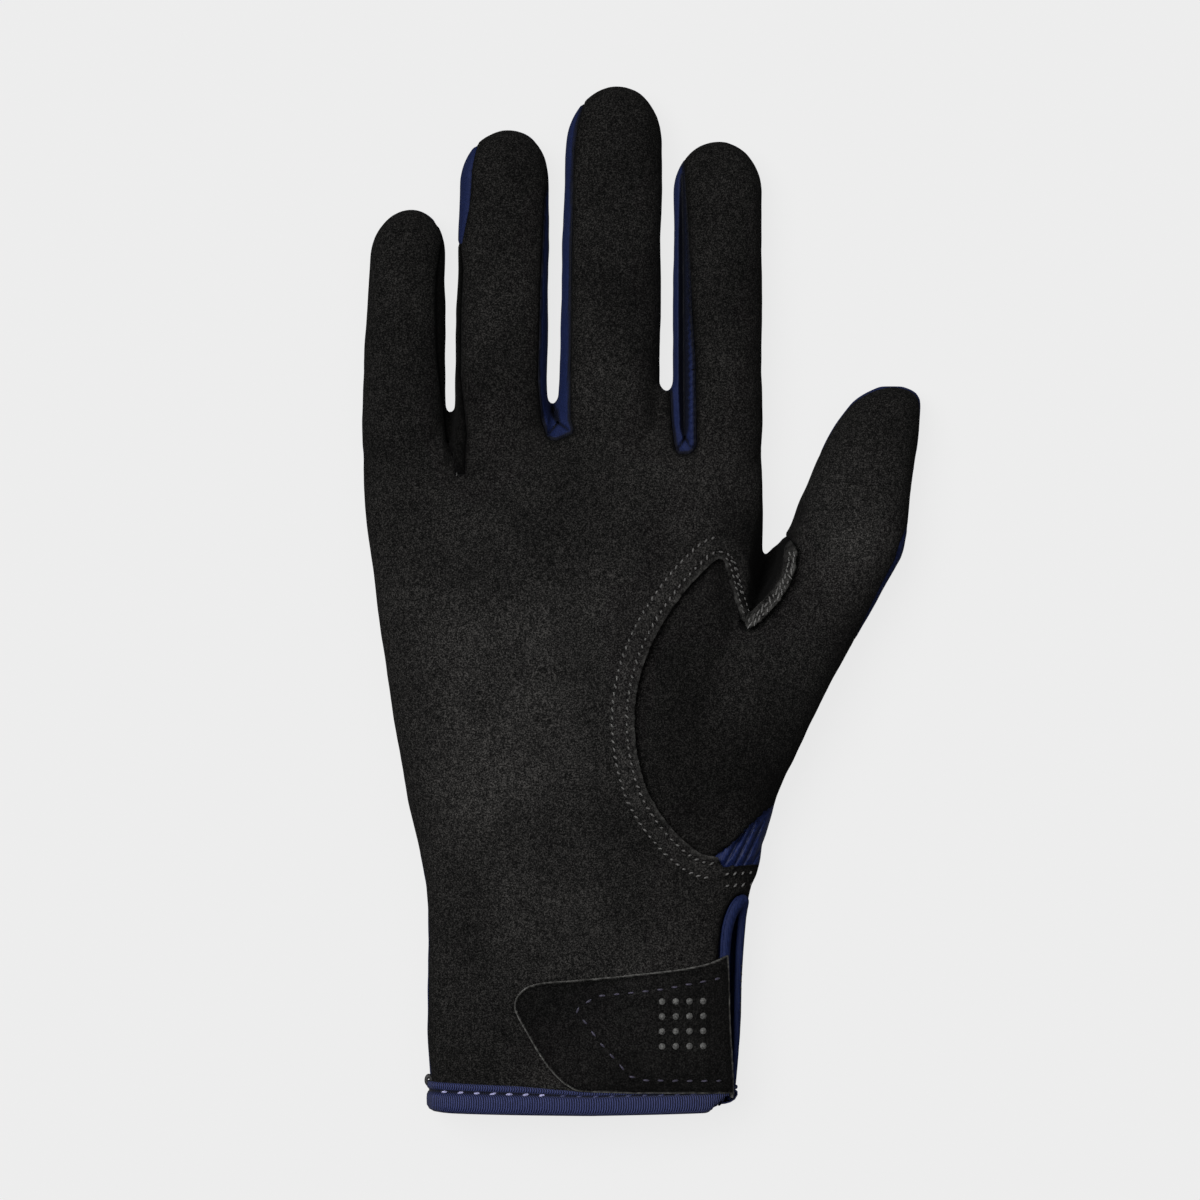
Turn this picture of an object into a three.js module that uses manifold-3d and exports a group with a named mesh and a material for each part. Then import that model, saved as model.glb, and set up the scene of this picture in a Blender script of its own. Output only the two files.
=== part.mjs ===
// A riding glove for the right hand, lying on its back with the palm up. Lengths are millimetres.
// +Y runs from the hem to the fingertips, +X to the thumb side and +Z out of the palm.
// The glove is a hollow form made of limbs: a palm, four fingers, a thumb and the webs between fingers.
// Its wall lies between the form and the same form drawn in by one wall. The panels are cut from it.

import * as THREE from "three";
import { mergeVertices } from "three/addons/utils/BufferGeometryUtils.js";
import Module from "manifold-3d";

const wasm = await Module();
wasm.setup();

// Palm: from the hem to the roots of the fingers, across the knuckles, and through its middle
const PALM_LENGTH = 154;
const PALM_WIDTH = 91.5;
const PALM_DEPTH = 23;

// Fingers: from the root line to the tip, and through the root
const INDEX_LENGTH = 68;
const MIDDLE_LENGTH = 80.8;
const RING_LENGTH = 70.8;
const LITTLE_LENGTH = 52.5;
const FINGER_DEPTH = 16;
const FINGER_BURIED = 38; // how far a finger's limb runs on inside the palm

// Thumb
const THUMB_LENGTH = 109;
const THUMB_DEPTH = 21;

// Cloth
const WALL = 1.2;
const CLEARANCE = 0.3; // between neighbouring pieces
const FORK_SEAM = 3.6; // height of the seam between a fork and the back
const FLATTENING = 0.15; // share of a limb's depth that resting on its back presses flat

// Hem binding, vent and closure
const HEM_BAND = 6.4;
const BINDING = 0.8;
const VENT_TOP_RADIUS = 1.25; // of the rolled edge round the vent
const VENT_FOOT_RADIUS = 0.8;
const VENT_DOWN_SHARES = [0.93, 0.75, 0.5, 0.25, 0]; // places down the back's side, from head to foot
const VENT_FACING = new THREE.Vector3(0.8, 0, 0.6); // the way out of the wall beside the vent
const HOOK_PAD = 1;
const TAB = 1.2;

// How finely round shapes are cut into flats
const PALM_SIDES = 28;
const FINGER_SIDES = 16;
const THUMB_SIDES = 18;
const DENT_SIDES = 8;
const BEAD_SIDES = 8;
const VENT_STEPS = 22;
const DOME_STEPS = 4;
const FINEST_EDGE = 0.02; // shorter edges left by a cut are closed up

const HEM_LIFT = BINDING + CLEARANCE; // the binding lies under the wall's edge
const FAR = 400; // past every edge of the glove

// The palm's outline and height. Along is a share of PALM_LENGTH, left and right are shares of PALM_WIDTH
// from the wrist's centre line, top is a share of PALM_DEPTH, and lift is a share of HEM_LIFT.
const PALM_SECTIONS = [
  { along: 0, left: -0.378, right: 0.372, top: 0.8, lift: 1 },
  { along: 0.048, left: -0.381, right: 0.376, top: 0.8, lift: 1 },
  { along: 0.1, left: -0.388, right: 0.388, top: 0.83, lift: 0 },
  { along: 0.18, left: -0.388, right: 0.393, top: 0.82, lift: 0 },
  { along: 0.256, left: -0.386, right: 0.401, top: 0.83, lift: 0 },
  { along: 0.33, left: -0.391, right: 0.414, top: 0.87, lift: 0 },
  { along: 0.405, left: -0.419, right: 0.424, top: 0.93, lift: 0 },
  { along: 0.479, left: -0.446, right: 0.434, top: 0.98, lift: 0 },
  { along: 0.554, left: -0.466, right: 0.441, top: 1, lift: 0 },
  { along: 0.643, left: -0.491, right: 0.446, top: 1, lift: 0 },
  { along: 0.762, left: -0.519, right: 0.446, top: 0.98, lift: 0 },
  { along: 0.881, left: -0.541, right: 0.446, top: 0.9, lift: 0 },
  { along: 0.955, left: -0.551, right: 0.446, top: 0.78, lift: 0 },
  { along: 1, left: -0.549, right: 0.441, top: 0.61, lift: 0 },
  { along: 1.04, left: -0.544, right: 0.436, top: 0.4, lift: 0 },
];
const PALM_ROUNDNESS = 2.6;

// The fingers. Width, and the axis's place across the palm at the heel inside the palm, on the root line
// and at the tip, are shares of PALM_WIDTH. Taper is the width at the tip as a share of that at the root.
const FINGERS = {
  little: { length: LITTLE_LENGTH, width: 0.21, heel: -0.405, root: -0.449, tip: -0.438, taper: 0.88 },
  ring: { length: RING_LENGTH, width: 0.232, heel: -0.2, root: -0.208, tip: -0.195, taper: 0.96 },
  middle: { length: MIDDLE_LENGTH, width: 0.256, heel: 0.05, root: 0.063, tip: 0.078, taper: 0.93 },
  index: { length: INDEX_LENGTH, width: 0.225, heel: 0.31, root: 0.333, tip: 0.337, taper: 0.98 },
};
const FINGER_ROUNDNESS = 2.3;
const TIP_ROUND = 0.57; // length of the rounded tip as a share of the finger's width
const TIP_DEPTH = 0.8; // depth where the tip starts to round, as a share of FINGER_DEPTH
const HEEL_DEPTH = 0.85;
const TIP_CROWN = 0.8; // under 1, the tip is fuller seen from the side than from above
const TIP_END = 0.35; // part of a dome step left out at the tip, which ends in a small flat

// The thumb. Along is a share of THUMB_LENGTH, left and right are shares of PALM_WIDTH from the wrist's
// centre line, and top is a share of THUMB_DEPTH.
const THUMB_FOOT = 0.372; // place of its lower end along the palm
const THUMB_SECTIONS = [
  { along: 0, left: 0.215, right: 0.385, top: 0.6 },
  { along: 0.055, left: 0.178, right: 0.449, top: 0.82 },
  { along: 0.139, left: 0.165, right: 0.481, top: 0.95 },
  { along: 0.239, left: 0.178, right: 0.536, top: 1.02 },
  { along: 0.34, left: 0.211, right: 0.594, top: 1.04 },
  { along: 0.441, left: 0.266, right: 0.659, top: 1 },
  { along: 0.517, left: 0.328, right: 0.712, top: 0.95 },
  { along: 0.58, left: 0.391, right: 0.752, top: 0.91 },
  { along: 0.643, left: 0.456, right: 0.794, top: 0.87 },
  { along: 0.693, left: 0.509, right: 0.807, top: 0.84 },
  { along: 0.744, left: 0.531, right: 0.812, top: 0.81 },
  { along: 0.819, left: 0.569, right: 0.822, top: 0.76 },
  { along: 0.895, left: 0.612, right: 0.837, top: 0.7 },
  { along: 0.945, left: 0.652, right: 0.84, top: 0.62 },
  { along: 0.971, left: 0.679, right: 0.84, top: 0.54 },
  { along: 0.989, left: 0.712, right: 0.827, top: 0.44 },
  { along: 1, left: 0.742, right: 0.797, top: 0.34 },
];
const THUMB_ROUNDNESS = 2.3;

// The forks are the strips between two fingers. Crotch is the place of the fork's lower end along the
// palm, and web the place where the fingers part. In the rows, share runs from the crotch to the fork's
// end, and left and right say how far the palm's edge lies inside the finger on that side, as shares of
// the finger's width. A negative one lies outside it, so that the palm reaches the finger's own side.
const FORKS = [
  {
    name: "little_ring", fingers: ["little", "ring"], crotch: 0.948, web: 1.04,
    rows: [
      { share: 0, left: -0.1, right: 0.12 },
      { share: 0.12, left: -0.04, right: 0.14 },
      { share: 0.3, left: 0.03, right: 0.05 },
      { share: 0.5, left: 0.085, right: 0.04 },
      { share: 0.75, left: 0.09, right: 0.1 },
      { share: 0.9, left: 0.04, right: 0.17 },
      { share: 1, left: -0.02, right: 0.17 },
    ],
  },
  {
    name: "ring_middle", fingers: ["ring", "middle"], crotch: 0.999, web: 1.055,
    rows: [
      { share: 0, left: 0.01, right: 0.13 },
      { share: 0.05, left: 0.05, right: 0.16 },
      { share: 0.2, left: 0.11, right: 0.15 },
      { share: 0.5, left: 0.09, right: 0.14 },
      { share: 0.8, left: 0.05, right: 0.13 },
      { share: 1, left: -0.03, right: 0.16 },
    ],
  },
  {
    name: "middle_index", fingers: ["middle", "index"], crotch: 0.982, web: 1.085,
    rows: [
      { share: 0, left: -0.17, right: 0.2 },
      { share: 0.05, left: -0.13, right: 0.24 },
      { share: 0.2, left: -0.06, right: 0.24 },
      { share: 0.5, left: -0.04, right: 0.21 },
      { share: 0.8, left: -0.04, right: 0.14 },
      { share: 1, left: -0.04, right: 0.09 },
    ],
  },
];
const FORK_END = 0.3; // how far below the tip a fork ends, as a share of the rounded tip
const WEB_WIDTH = 8;
const WEB_HEIGHT = 8.4;
const REIN_PATCH_END = 0.7; // share of the fork where the rein patch gives way to the strip

// The side seam's height where palm and back meet, as a share of PALM_DEPTH
const SIDE_SEAM = [
  { along: -0.5, height: 0.4 },
  { along: 0.35, height: 0.4 },
  { along: 0.8, height: 0.38 },
  { along: 1.1, height: 0.32 },
  { along: 2, height: 0.3 },
];

// Lines drawn on the palm. Each point is [across, along], shares of PALM_WIDTH and PALM_LENGTH.
const THUMB_HOLE_EDGE = [
  [0.534, 0.832], [0.524, 0.8], [0.505, 0.775], [0.455, 0.738], [0.406, 0.72],
  [0.376, 0.765], [0.346, 0.821], [0.3, 0.806], [0.235, 0.762], [0.17, 0.699],
  [0.133, 0.63], [0.128, 0.56], [0.155, 0.487], [0.211, 0.432], [0.28, 0.393], [0.331, 0.384],
];
const GUSSET_TOP_EDGE = [[0.331, 0.384], [0.378, 0.408], [0.429, 0.438], [0.476, 0.46]];
const GUSSET_FOOT_EDGE = [[0.54, 0.382], [0.446, 0.371], [0.346, 0.368]];
const VENT_EDGE = [[0.398, 0.312], [0.368, 0.3], [0.351, 0.27], [0.341, 0.235], [0.336, 0.16]];
const TAB_OUTLINE = [
  [0.37, 0.234], [0.27, 0.219], [0.04, 0.206], [-0.1, 0.199], [-0.15, 0.188], [-0.169, 0.162],
  [-0.135, 0.12], [-0.09, 0.076], [-0.035, 0.041], [0.03, 0.031], [0.383, 0.028],
];
const HOOK_PAD_OUTLINE = [
  [0.31, 0.2], [0.19, 0.19], [0.02, 0.178], [-0.016, 0.16], [0.04, 0.113], [0.115, 0.068], [0.15, 0.06],
  [0.31, 0.06],
];

// Corners past the glove's edge that close those lines into regions
const THUMB_TOP_BOUND = [[0.462, 1.4], [0.462, 0.875], [0.5, 0.862]];
const THUMB_SIDE_BOUND = [[0.9, 0.49], [0.9, 1.4]];
const GUSSET_SIDE_BOUND = [0.54, 0.48];
const THUMB_BACK_BOUND = [[0.451, 1.4], [0.451, 0.372], [0.9, 0.372], [0.9, 1.4]];
const VENT_BOUND = [[0.336, -0.1], [0.6, -0.1], [0.6, 0.312]];

// Folds pressed into the wall. From and to are [across, along], at is the height as a share of PALM_DEPTH,
// and the two radii are those at the ends. The pleat's start and end are shares of the finger's straight
// stretch, its inset and radius shares of the finger's width, and its height a share of the half depth.
const THUMB_WEB_FOLD = { from: [0.475, 0.86], to: [0.404, 0.722], at: 0.74, radii: [6.5, 2.2] };
const INDEX_PLEAT = { start: 0.06, end: 0.9, inset: 0.13, at: 0.6, radius: 0.052 };
const GUSSET_GATHERS = {
  count: 3, from: [0.352, 0.376], to: [0.43, 0.372], run: [0.05, 0.045], at: 0.86, radius: 0.8,
};

const BLACK_SUEDE = { color: 0x1d1c1b, roughness: 0.95, metalness: 0 };
const NAVY_KNIT = { color: 0x1c2148, roughness: 0.8, metalness: 0 };
const NAVY_ELASTIC = { color: 0x20264f, roughness: 0.7, metalness: 0 };
const BLACK_HOOKS = { color: 0x121212, roughness: 0.9, metalness: 0 };

const half = (length) => length / 2;
const plan = ([across, along]) => new THREE.Vector2(across * PALM_WIDTH, along * PALM_LENGTH);
const mix = THREE.MathUtils.lerp;

// Solids: a three.js geometry turned into a closed solid that can be joined and cut, and back

function solidOf(geometry) {
  const bare = geometry.clone();
  for (const name of Object.keys(bare.attributes)) {
    if (name !== "position") bare.deleteAttribute(name);
  }
  const merged = mergeVertices(bare, 1e-4);
  return new wasm.Manifold(
    new wasm.Mesh({
      numProp: 3,
      vertProperties: merged.attributes.position.array,
      triVerts: new Uint32Array(merged.index.array),
      tolerance: FINEST_EDGE,
    }),
  );
}

function geometryOf(solid) {
  const { vertProperties, triVerts } = solid.getMesh();
  const geometry = new THREE.BufferGeometry();
  geometry.setAttribute("position", new THREE.BufferAttribute(vertProperties, 3));
  geometry.setIndex(new THREE.BufferAttribute(triVerts, 1));
  return geometry;
}

const joined = (solids) => solids.reduce((all, solid) => all.add(solid));

// The main body of a cut, without the crumbs that the cut leaves beside it
const mainBody = (solid) => solid.decompose().sort((a, b) => b.volume() - a.volume())[0];

// A closed skin over a row of rings that have the same number of points, with flat ends
function skinOver(rings) {
  const sides = rings[0].length;
  const centre = (ring) =>
    ring.reduce((sum, point) => sum.add(point), new THREE.Vector3()).divideScalar(sides);
  const positions = rings.flat().flatMap((point) => point.toArray());
  const firstCentre = positions.length / 3;
  positions.push(...centre(rings[0]).toArray(), ...centre(rings.at(-1)).toArray());
  const faces = [];
  rings.slice(1).forEach((_, row) => {
    for (let side = 0; side < sides; side += 1) {
      const next = (side + 1) % sides;
      const [a, b] = [row * sides + side, row * sides + next];
      faces.push(a, b + sides, b, a, a + sides, b + sides);
    }
  });
  const last = (rings.length - 1) * sides;
  for (let side = 0; side < sides; side += 1) {
    const next = (side + 1) % sides;
    faces.push(firstCentre, side, next, firstCentre + 1, last + next, last + side);
  }
  const geometry = new THREE.BufferGeometry();
  geometry.setAttribute("position", new THREE.Float32BufferAttribute(positions, 3));
  geometry.setIndex(faces);
  return solidOf(geometry);
}

// A solid that stands on a closed outline in plan, from one height to another
function prism(points, low = -FAR, high = FAR) {
  const shape = new THREE.Shape(points);
  const block = new THREE.ExtrudeGeometry(shape, { depth: high - low, bevelEnabled: false });
  return solidOf(block.translate(0, 0, low));
}

// What lies above a line of heights that runs along the glove
function above(heights, shift = 0) {
  const line = heights.map(([y, z]) => new THREE.Vector2(y, z + shift));
  const profile = [...line, new THREE.Vector2(line.at(-1).x, FAR), new THREE.Vector2(line[0].x, FAR)];
  const slab = new THREE.ExtrudeGeometry(new THREE.Shape(profile), { depth: 2 * FAR, bevelEnabled: false });
  // The profile lies in X and Y and is drawn along Z, and this turn lays it in Y and Z, drawn along X
  const turn = new THREE.Matrix4().makeBasis(
    new THREE.Vector3(0, 1, 0),
    new THREE.Vector3(0, 0, 1),
    new THREE.Vector3(1, 0, 0),
  );
  return solidOf(slab.translate(0, 0, -FAR).applyMatrix4(turn));
}

function between(low, high) {
  return prism([
    new THREE.Vector2(-FAR, low),
    new THREE.Vector2(FAR, low),
    new THREE.Vector2(FAR, high),
    new THREE.Vector2(-FAR, high),
  ]);
}

// A rod with a round section along a path, whose radius may change from end to end. The path lies in a
// surface, and outward points out of that surface.
function rod(path, radii, sides, outward = new THREE.Vector3(0, 0, 1)) {
  const rings = path.map((point, step) => {
    const before = path[Math.max(step - 1, 0)];
    const after = path[Math.min(step + 1, path.length - 1)];
    const along = after.clone().sub(before).normalize();
    const side = new THREE.Vector3().crossVectors(along, outward).normalize();
    const up = new THREE.Vector3().crossVectors(side, along);
    return Array.from({ length: sides }, (_, n) => {
      const angle = (2 * Math.PI * n) / sides;
      return point
        .clone()
        .addScaledVector(side, radii[step] * Math.cos(angle))
        .addScaledVector(up, radii[step] * Math.sin(angle));
    });
  });
  return skinOver(rings);
}

// Limbs: each is a row of sections across the Y axis, and drawn says how far its surface is drawn in

// A section is an oval with a flat underside, because the glove rests on its back
function sectionRing(section, drawn, sides) {
  const { y, x, halfWidth, z, halfDepth, floor, roundness } = section;
  const reach = (share) => Math.sign(share) * Math.abs(share) ** (2 / roundness);
  return Array.from({ length: sides }, (_, n) => {
    const angle = (2 * Math.PI * n) / sides;
    return new THREE.Vector3(
      x + (halfWidth - drawn) * reach(Math.cos(angle)),
      y,
      Math.max(z + (halfDepth - drawn) * reach(Math.sin(angle)), floor + drawn),
    );
  });
}

function limb(sections, drawn, sides) {
  return skinOver(sections.map((section) => sectionRing(section, drawn, sides)));
}

// Height of an oval's middle and half of its depth, for a limb whose top is at that height
function ovalOf(top) {
  const sunk = FLATTENING * top;
  return { z: half(top - sunk), halfDepth: half(top + sunk) };
}

function palmSections(drawn = 0) {
  const last = PALM_SECTIONS.at(-1);
  return PALM_SECTIONS.map(({ along, left, right, top, lift }) => ({
    y: along * PALM_LENGTH - (along === last.along ? drawn : 0),
    x: half(left + right) * PALM_WIDTH,
    halfWidth: half(right - left) * PALM_WIDTH,
    ...ovalOf(top * PALM_DEPTH),
    floor: lift * HEM_LIFT,
    roundness: PALM_ROUNDNESS,
  }));
}

// The palm's limb. An inner one runs on past the hem, so that the cavity is open there.
function palmLimb(drawn, hem) {
  const [foot, ...rest] = palmSections(drawn);
  return limb([{ ...foot, y: hem }, ...rest], drawn, PALM_SIDES);
}

// The palm's oval at a place along it, worked out between the two nearest rows
function palmSectionAt(y) {
  const rows = palmSections();
  const after = Math.max(rows.findIndex((row) => row.y >= y), 1);
  const [low, high] = [rows[after - 1], rows[after]];
  const share = (y - low.y) / (high.y - low.y);
  return Object.fromEntries(Object.keys(low).map((key) => [key, mix(low[key], high[key], share)]));
}

// Height of the palm's upper surface over a point in plan
function palmTop({ x, y }) {
  const oval = palmSectionAt(y);
  const across = Math.min(Math.abs(x - oval.x) / oval.halfWidth, 1);
  return oval.z + oval.halfDepth * (1 - across ** oval.roundness) ** (1 / oval.roundness);
}

const widthOf = (finger) => finger.width * PALM_WIDTH;
const fingerTip = (finger) => PALM_LENGTH + finger.length;
const tipRound = (finger) => TIP_ROUND * widthOf(finger);

// A finger's axis and width at a place along the glove, left square past the start of its round tip
function fingerAt(finger, y) {
  const out = (y - PALM_LENGTH) / finger.length;
  const inward = (PALM_LENGTH - y) / FINGER_BURIED;
  const across = out > 0 ? mix(finger.root, finger.tip, out) : mix(finger.root, finger.heel, inward);
  return {
    x: across * PALM_WIDTH,
    halfWidth: half(widthOf(finger) * mix(1, finger.taper, THREE.MathUtils.clamp(out, 0, 1))),
    depth: FINGER_DEPTH * (out > 0 ? mix(1, TIP_DEPTH, out) : mix(1, HEEL_DEPTH, inward)),
  };
}

function fingerSection(finger, y, shrink = 1) {
  const { x, halfWidth, depth } = fingerAt(finger, y);
  const { z, halfDepth } = ovalOf(depth);
  return {
    y, x, z,
    halfWidth: halfWidth * shrink,
    halfDepth: halfDepth * shrink,
    floor: 0,
    roundness: FINGER_ROUNDNESS,
  };
}

function fingerLimb(finger, drawn) {
  const round = tipRound(finger);
  const shoulder = fingerTip(finger) - round;
  const straight = [PALM_LENGTH - FINGER_BURIED, PALM_LENGTH, mix(PALM_LENGTH, shoulder, 0.5), shoulder];
  const sections = straight.map((y) => fingerSection(finger, y));
  const { halfWidth, halfDepth } = sections.at(-1);
  for (let step = 1; step <= DOME_STEPS; step += 1) {
    const angle = (Math.PI / 2) * (step / (DOME_STEPS + TIP_END));
    const section = fingerSection(finger, shoulder + (round - drawn) * Math.sin(angle));
    // The wall keeps its thickness round the tip, so the drawn-in oval shrinks to nothing with the outer one
    sections.push({
      ...section,
      halfWidth: (halfWidth - drawn) * Math.cos(angle) + drawn,
      halfDepth: (halfDepth - drawn) * Math.cos(angle) ** TIP_CROWN + drawn,
    });
  }
  return limb(sections, drawn, FINGER_SIDES);
}

function thumbLimb(drawn) {
  const foot = THUMB_FOOT * PALM_LENGTH;
  const sections = THUMB_SECTIONS.map(({ along, left, right, top }) => ({
    y: foot + along * (THUMB_LENGTH - drawn),
    x: half(left + right) * PALM_WIDTH,
    halfWidth: half(right - left) * PALM_WIDTH,
    ...ovalOf(top * THUMB_DEPTH),
    floor: 0,
    roundness: THUMB_ROUNDNESS,
  }));
  return limb(sections, drawn, THUMB_SIDES);
}

// The middle of the gap between a fork's two fingers
function gapMiddle({ fingers }, y) {
  const [left, right] = fingers.map((name) => fingerAt(FINGERS[name], y));
  return half(left.x + left.halfWidth + right.x - right.halfWidth);
}

// The low web that joins two fingers from the palm up to where they part
function webLimb(fork, drawn) {
  const end = fork.web * PALM_LENGTH;
  const { z, halfDepth } = ovalOf(WEB_HEIGHT);
  const sections = [PALM_LENGTH - half(FINGER_BURIED), PALM_LENGTH, end - drawn].map((y) => ({
    y, z, halfDepth,
    x: gapMiddle(fork, y),
    halfWidth: half(WEB_WIDTH),
    floor: 0,
    roundness: FINGER_ROUNDNESS,
  }));
  return limb(sections, drawn, FINGER_SIDES);
}

// Folds: rods taken out of the form, and rods one wall larger taken out of the cavity

function thumbWebFold(grow) {
  const { from, to, at, radii } = THUMB_WEB_FOLD;
  const [start, end] = [plan(from), plan(to)];
  const shares = [0, 0.25, 0.5, 0.75, 1];
  const path = shares.map((share) => {
    const point = start.clone().lerp(end, share);
    return new THREE.Vector3(point.x, point.y, at * PALM_DEPTH);
  });
  return rod(path, shares.map((share) => mix(radii[0], radii[1], share) + grow), DENT_SIDES);
}

function indexPleat(grow) {
  const finger = FINGERS.index;
  const { start, end, inset, at, radius } = INDEX_PLEAT;
  const path = [0, 0.2, 0.4, 0.6, 0.8, 1].map((share) => {
    const y = PALM_LENGTH + mix(start, end, share) * (finger.length - tipRound(finger));
    const { x, halfWidth, depth } = fingerAt(finger, y);
    const { z, halfDepth } = ovalOf(depth);
    return new THREE.Vector3(x - halfWidth + inset * widthOf(finger), y, z + halfDepth * at);
  });
  return rod(path, path.map(() => radius * widthOf(finger) + grow), DENT_SIDES);
}

function gussetGathers(grow) {
  const { count, from, to, run, at, radius } = GUSSET_GATHERS;
  return Array.from({ length: count }, (_, n) => {
    const foot = plan(from).lerp(plan(to), n / (count - 1));
    const head = foot.clone().add(plan(run));
    const path = [foot, head].map((point) => new THREE.Vector3(point.x, point.y, at * PALM_DEPTH));
    return rod(path, [radius + grow, half(radius) + grow], DENT_SIDES);
  });
}

const folds = (grow) => joined([thumbWebFold(grow), indexPleat(grow), ...gussetGathers(grow)]);

function form(drawn, hem) {
  const limbs = [
    palmLimb(drawn, hem),
    thumbLimb(drawn),
    ...Object.values(FINGERS).map((finger) => fingerLimb(finger, drawn)),
    ...FORKS.map((fork) => webLimb(fork, drawn)),
  ];
  return joined(limbs).subtract(folds(drawn));
}

const wall = form(0, HEM_LIFT).subtract(form(WALL, -FAR));

// Cutters: regions in plan and in height that share the wall out between the panels

const seamLine = SIDE_SEAM.map(({ along, height }) => [along * PALM_LENGTH, height * PALM_DEPTH]);
const flatLine = (height) => [[-FAR, height], [FAR, height]];
const upperHalf = above(seamLine, half(CLEARANCE));
const upperHalfGrown = above(seamLine, -half(CLEARANCE));
const overForkSeam = above(flatLine(FORK_SEAM), half(CLEARANCE));
const overForkSeamGrown = above(flatLine(FORK_SEAM), -half(CLEARANCE));

// A smooth line through points drawn on the palm
const smoothLine = (points, steps) => new THREE.SplineCurve(points.map(plan)).getPoints(steps);

// The same line moved sideways, to the left of its own direction
function movedLeft(line, distance) {
  return line.map((point, n) => {
    const before = line[Math.max(n - 1, 0)];
    const after = line[Math.min(n + 1, line.length - 1)];
    const along = after.clone().sub(before).normalize();
    return new THREE.Vector2(point.x - along.y * distance, point.y + along.x * distance);
  });
}

// A fork's end on one finger
const forkEnd = (finger) => fingerTip(finger) - FORK_END * tipRound(finger);

// The opening between two fingers in the palm's pattern, which the fork fills
function slit(fork, grow) {
  const [a, b] = fork.fingers.map((name) => FINGERS[name]);
  const foot = fork.crotch * PALM_LENGTH - grow;
  const place = (share, finger) => mix(foot, forkEnd(finger) + grow, share);
  const leftSide = fork.rows.map(({ share, left }) => {
    const y = place(share, a);
    const { x, halfWidth } = fingerAt(a, y);
    return new THREE.Vector2(x + halfWidth - left * widthOf(a) - grow, y);
  });
  const rightSide = fork.rows.map(({ share, right }) => {
    const y = place(share, b);
    const { x, halfWidth } = fingerAt(b, y);
    return new THREE.Vector2(x - halfWidth + right * widthOf(b) + grow, y);
  });
  const gap = [a, b].map((finger) => {
    const y = place(1, finger);
    return new THREE.Vector2(gapMiddle(fork, y), y);
  });
  return prism([...leftSide, ...gap, ...rightSide.reverse()].reverse());
}

// The part of the glove beside a finger gap, from the middle of one finger to the middle of the next
function forkZone(fork, grow) {
  const [a, b] = fork.fingers.map((name) => FINGERS[name]);
  const foot = fork.crotch * PALM_LENGTH - grow;
  const corner = (finger, y) => new THREE.Vector2(fingerAt(finger, y).x, y);
  const gapAt = (y) => new THREE.Vector2(gapMiddle(fork, y), y);
  const [endA, endB] = [forkEnd(a) + grow, forkEnd(b) + grow];
  return prism([
    corner(a, foot), corner(b, foot), corner(b, endB), gapAt(endB), gapAt(endA), corner(a, endA),
  ]);
}

const gussetTopEdge = smoothLine(GUSSET_TOP_EDGE, 8);
const thumbEdge = [...smoothLine(THUMB_HOLE_EDGE, 40), ...gussetTopEdge.slice(1)];
const gussetEdge = [...smoothLine(GUSSET_FOOT_EDGE, 6), ...gussetTopEdge];
// The thumb's own part of the plan: inside the hole in the palm, over the gusset, and out past the thumb
const thumbRegion = (grow) =>
  prism([
    ...THUMB_TOP_BOUND.map(plan), ...movedLeft(thumbEdge, -grow), ...THUMB_SIDE_BOUND.map(plan),
  ]);

const gussetRegion = (grow) => prism([...movedLeft(gussetEdge, grow), plan(GUSSET_SIDE_BOUND)].reverse());

const thumbBackRegion = (grow) => prism(movedLeft(THUMB_BACK_BOUND.map(plan), -grow));

// The vent at the wrist, open down to the hem
const ventEdge = smoothLine(VENT_EDGE, 14);
const ventRegion = prism([...ventEdge, ...VENT_BOUND.map(plan)]);

// Panels

const slits = (grow) => joined(FORKS.map((fork) => slit(fork, grow)));

const palmPanel = mainBody(
  wall
    .intersect(upperHalf)
    .subtract(slits(half(CLEARANCE)))
    .subtract(thumbRegion(half(CLEARANCE)))
    .subtract(gussetRegion(half(CLEARANCE)))
    .subtract(ventRegion),
);

function forkPanel(fork) {
  const side = forkZone(fork, -half(CLEARANCE)).subtract(upperHalfGrown);
  const shown = slit(fork, -half(CLEARANCE));
  return mainBody(wall.intersect(overForkSeam).intersect(side.add(shown)));
}

const thumbFront = mainBody(wall.intersect(thumbRegion(-half(CLEARANCE))).intersect(upperHalf));
const thumbGusset = mainBody(wall.intersect(gussetRegion(-half(CLEARANCE))).intersect(upperHalf));

const lowerWall = wall.subtract(upperHalfGrown);
const thumbBack = mainBody(lowerWall.intersect(thumbBackRegion(-half(CLEARANCE))));
const forkZones = joined(FORKS.map((fork) => forkZone(fork, half(CLEARANCE))));
const backPanel = mainBody(
  lowerWall
    .subtract(thumbBackRegion(half(CLEARANCE)))
    .subtract(forkZones.intersect(overForkSeamGrown)),
);

// The fork between little and ring finger: a rein patch low down, and a strip of knit beside the ring finger
const [reinFork, ...plainForks] = FORKS;
const reinEnd = mix(reinFork.crotch * PALM_LENGTH, forkEnd(FINGERS.ring), REIN_PATCH_END);
const reinForkPanel = forkPanel(reinFork);
const reinPatch = mainBody(reinForkPanel.intersect(between(-FAR, reinEnd - half(CLEARANCE))));
const ringStrip = mainBody(reinForkPanel.intersect(between(reinEnd + half(CLEARANCE), FAR)));

// The hem binding folds round the wall's edge, and stops at the vent
const bindingSkin = HEM_LIFT;
const hemBinding = mainBody(
  palmLimb(-bindingSkin, -FAR)
    .subtract(palmLimb(WALL + bindingSkin, -FAR))
    .subtract(
      palmLimb(-CLEARANCE, -FAR)
        .subtract(palmLimb(WALL + CLEARANCE, -FAR))
        .intersect(between(BINDING, FAR)),
    )
    .intersect(between(0, HEM_BAND))
    .subtract(ventRegion.intersect(upperHalfGrown)),
);

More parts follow.
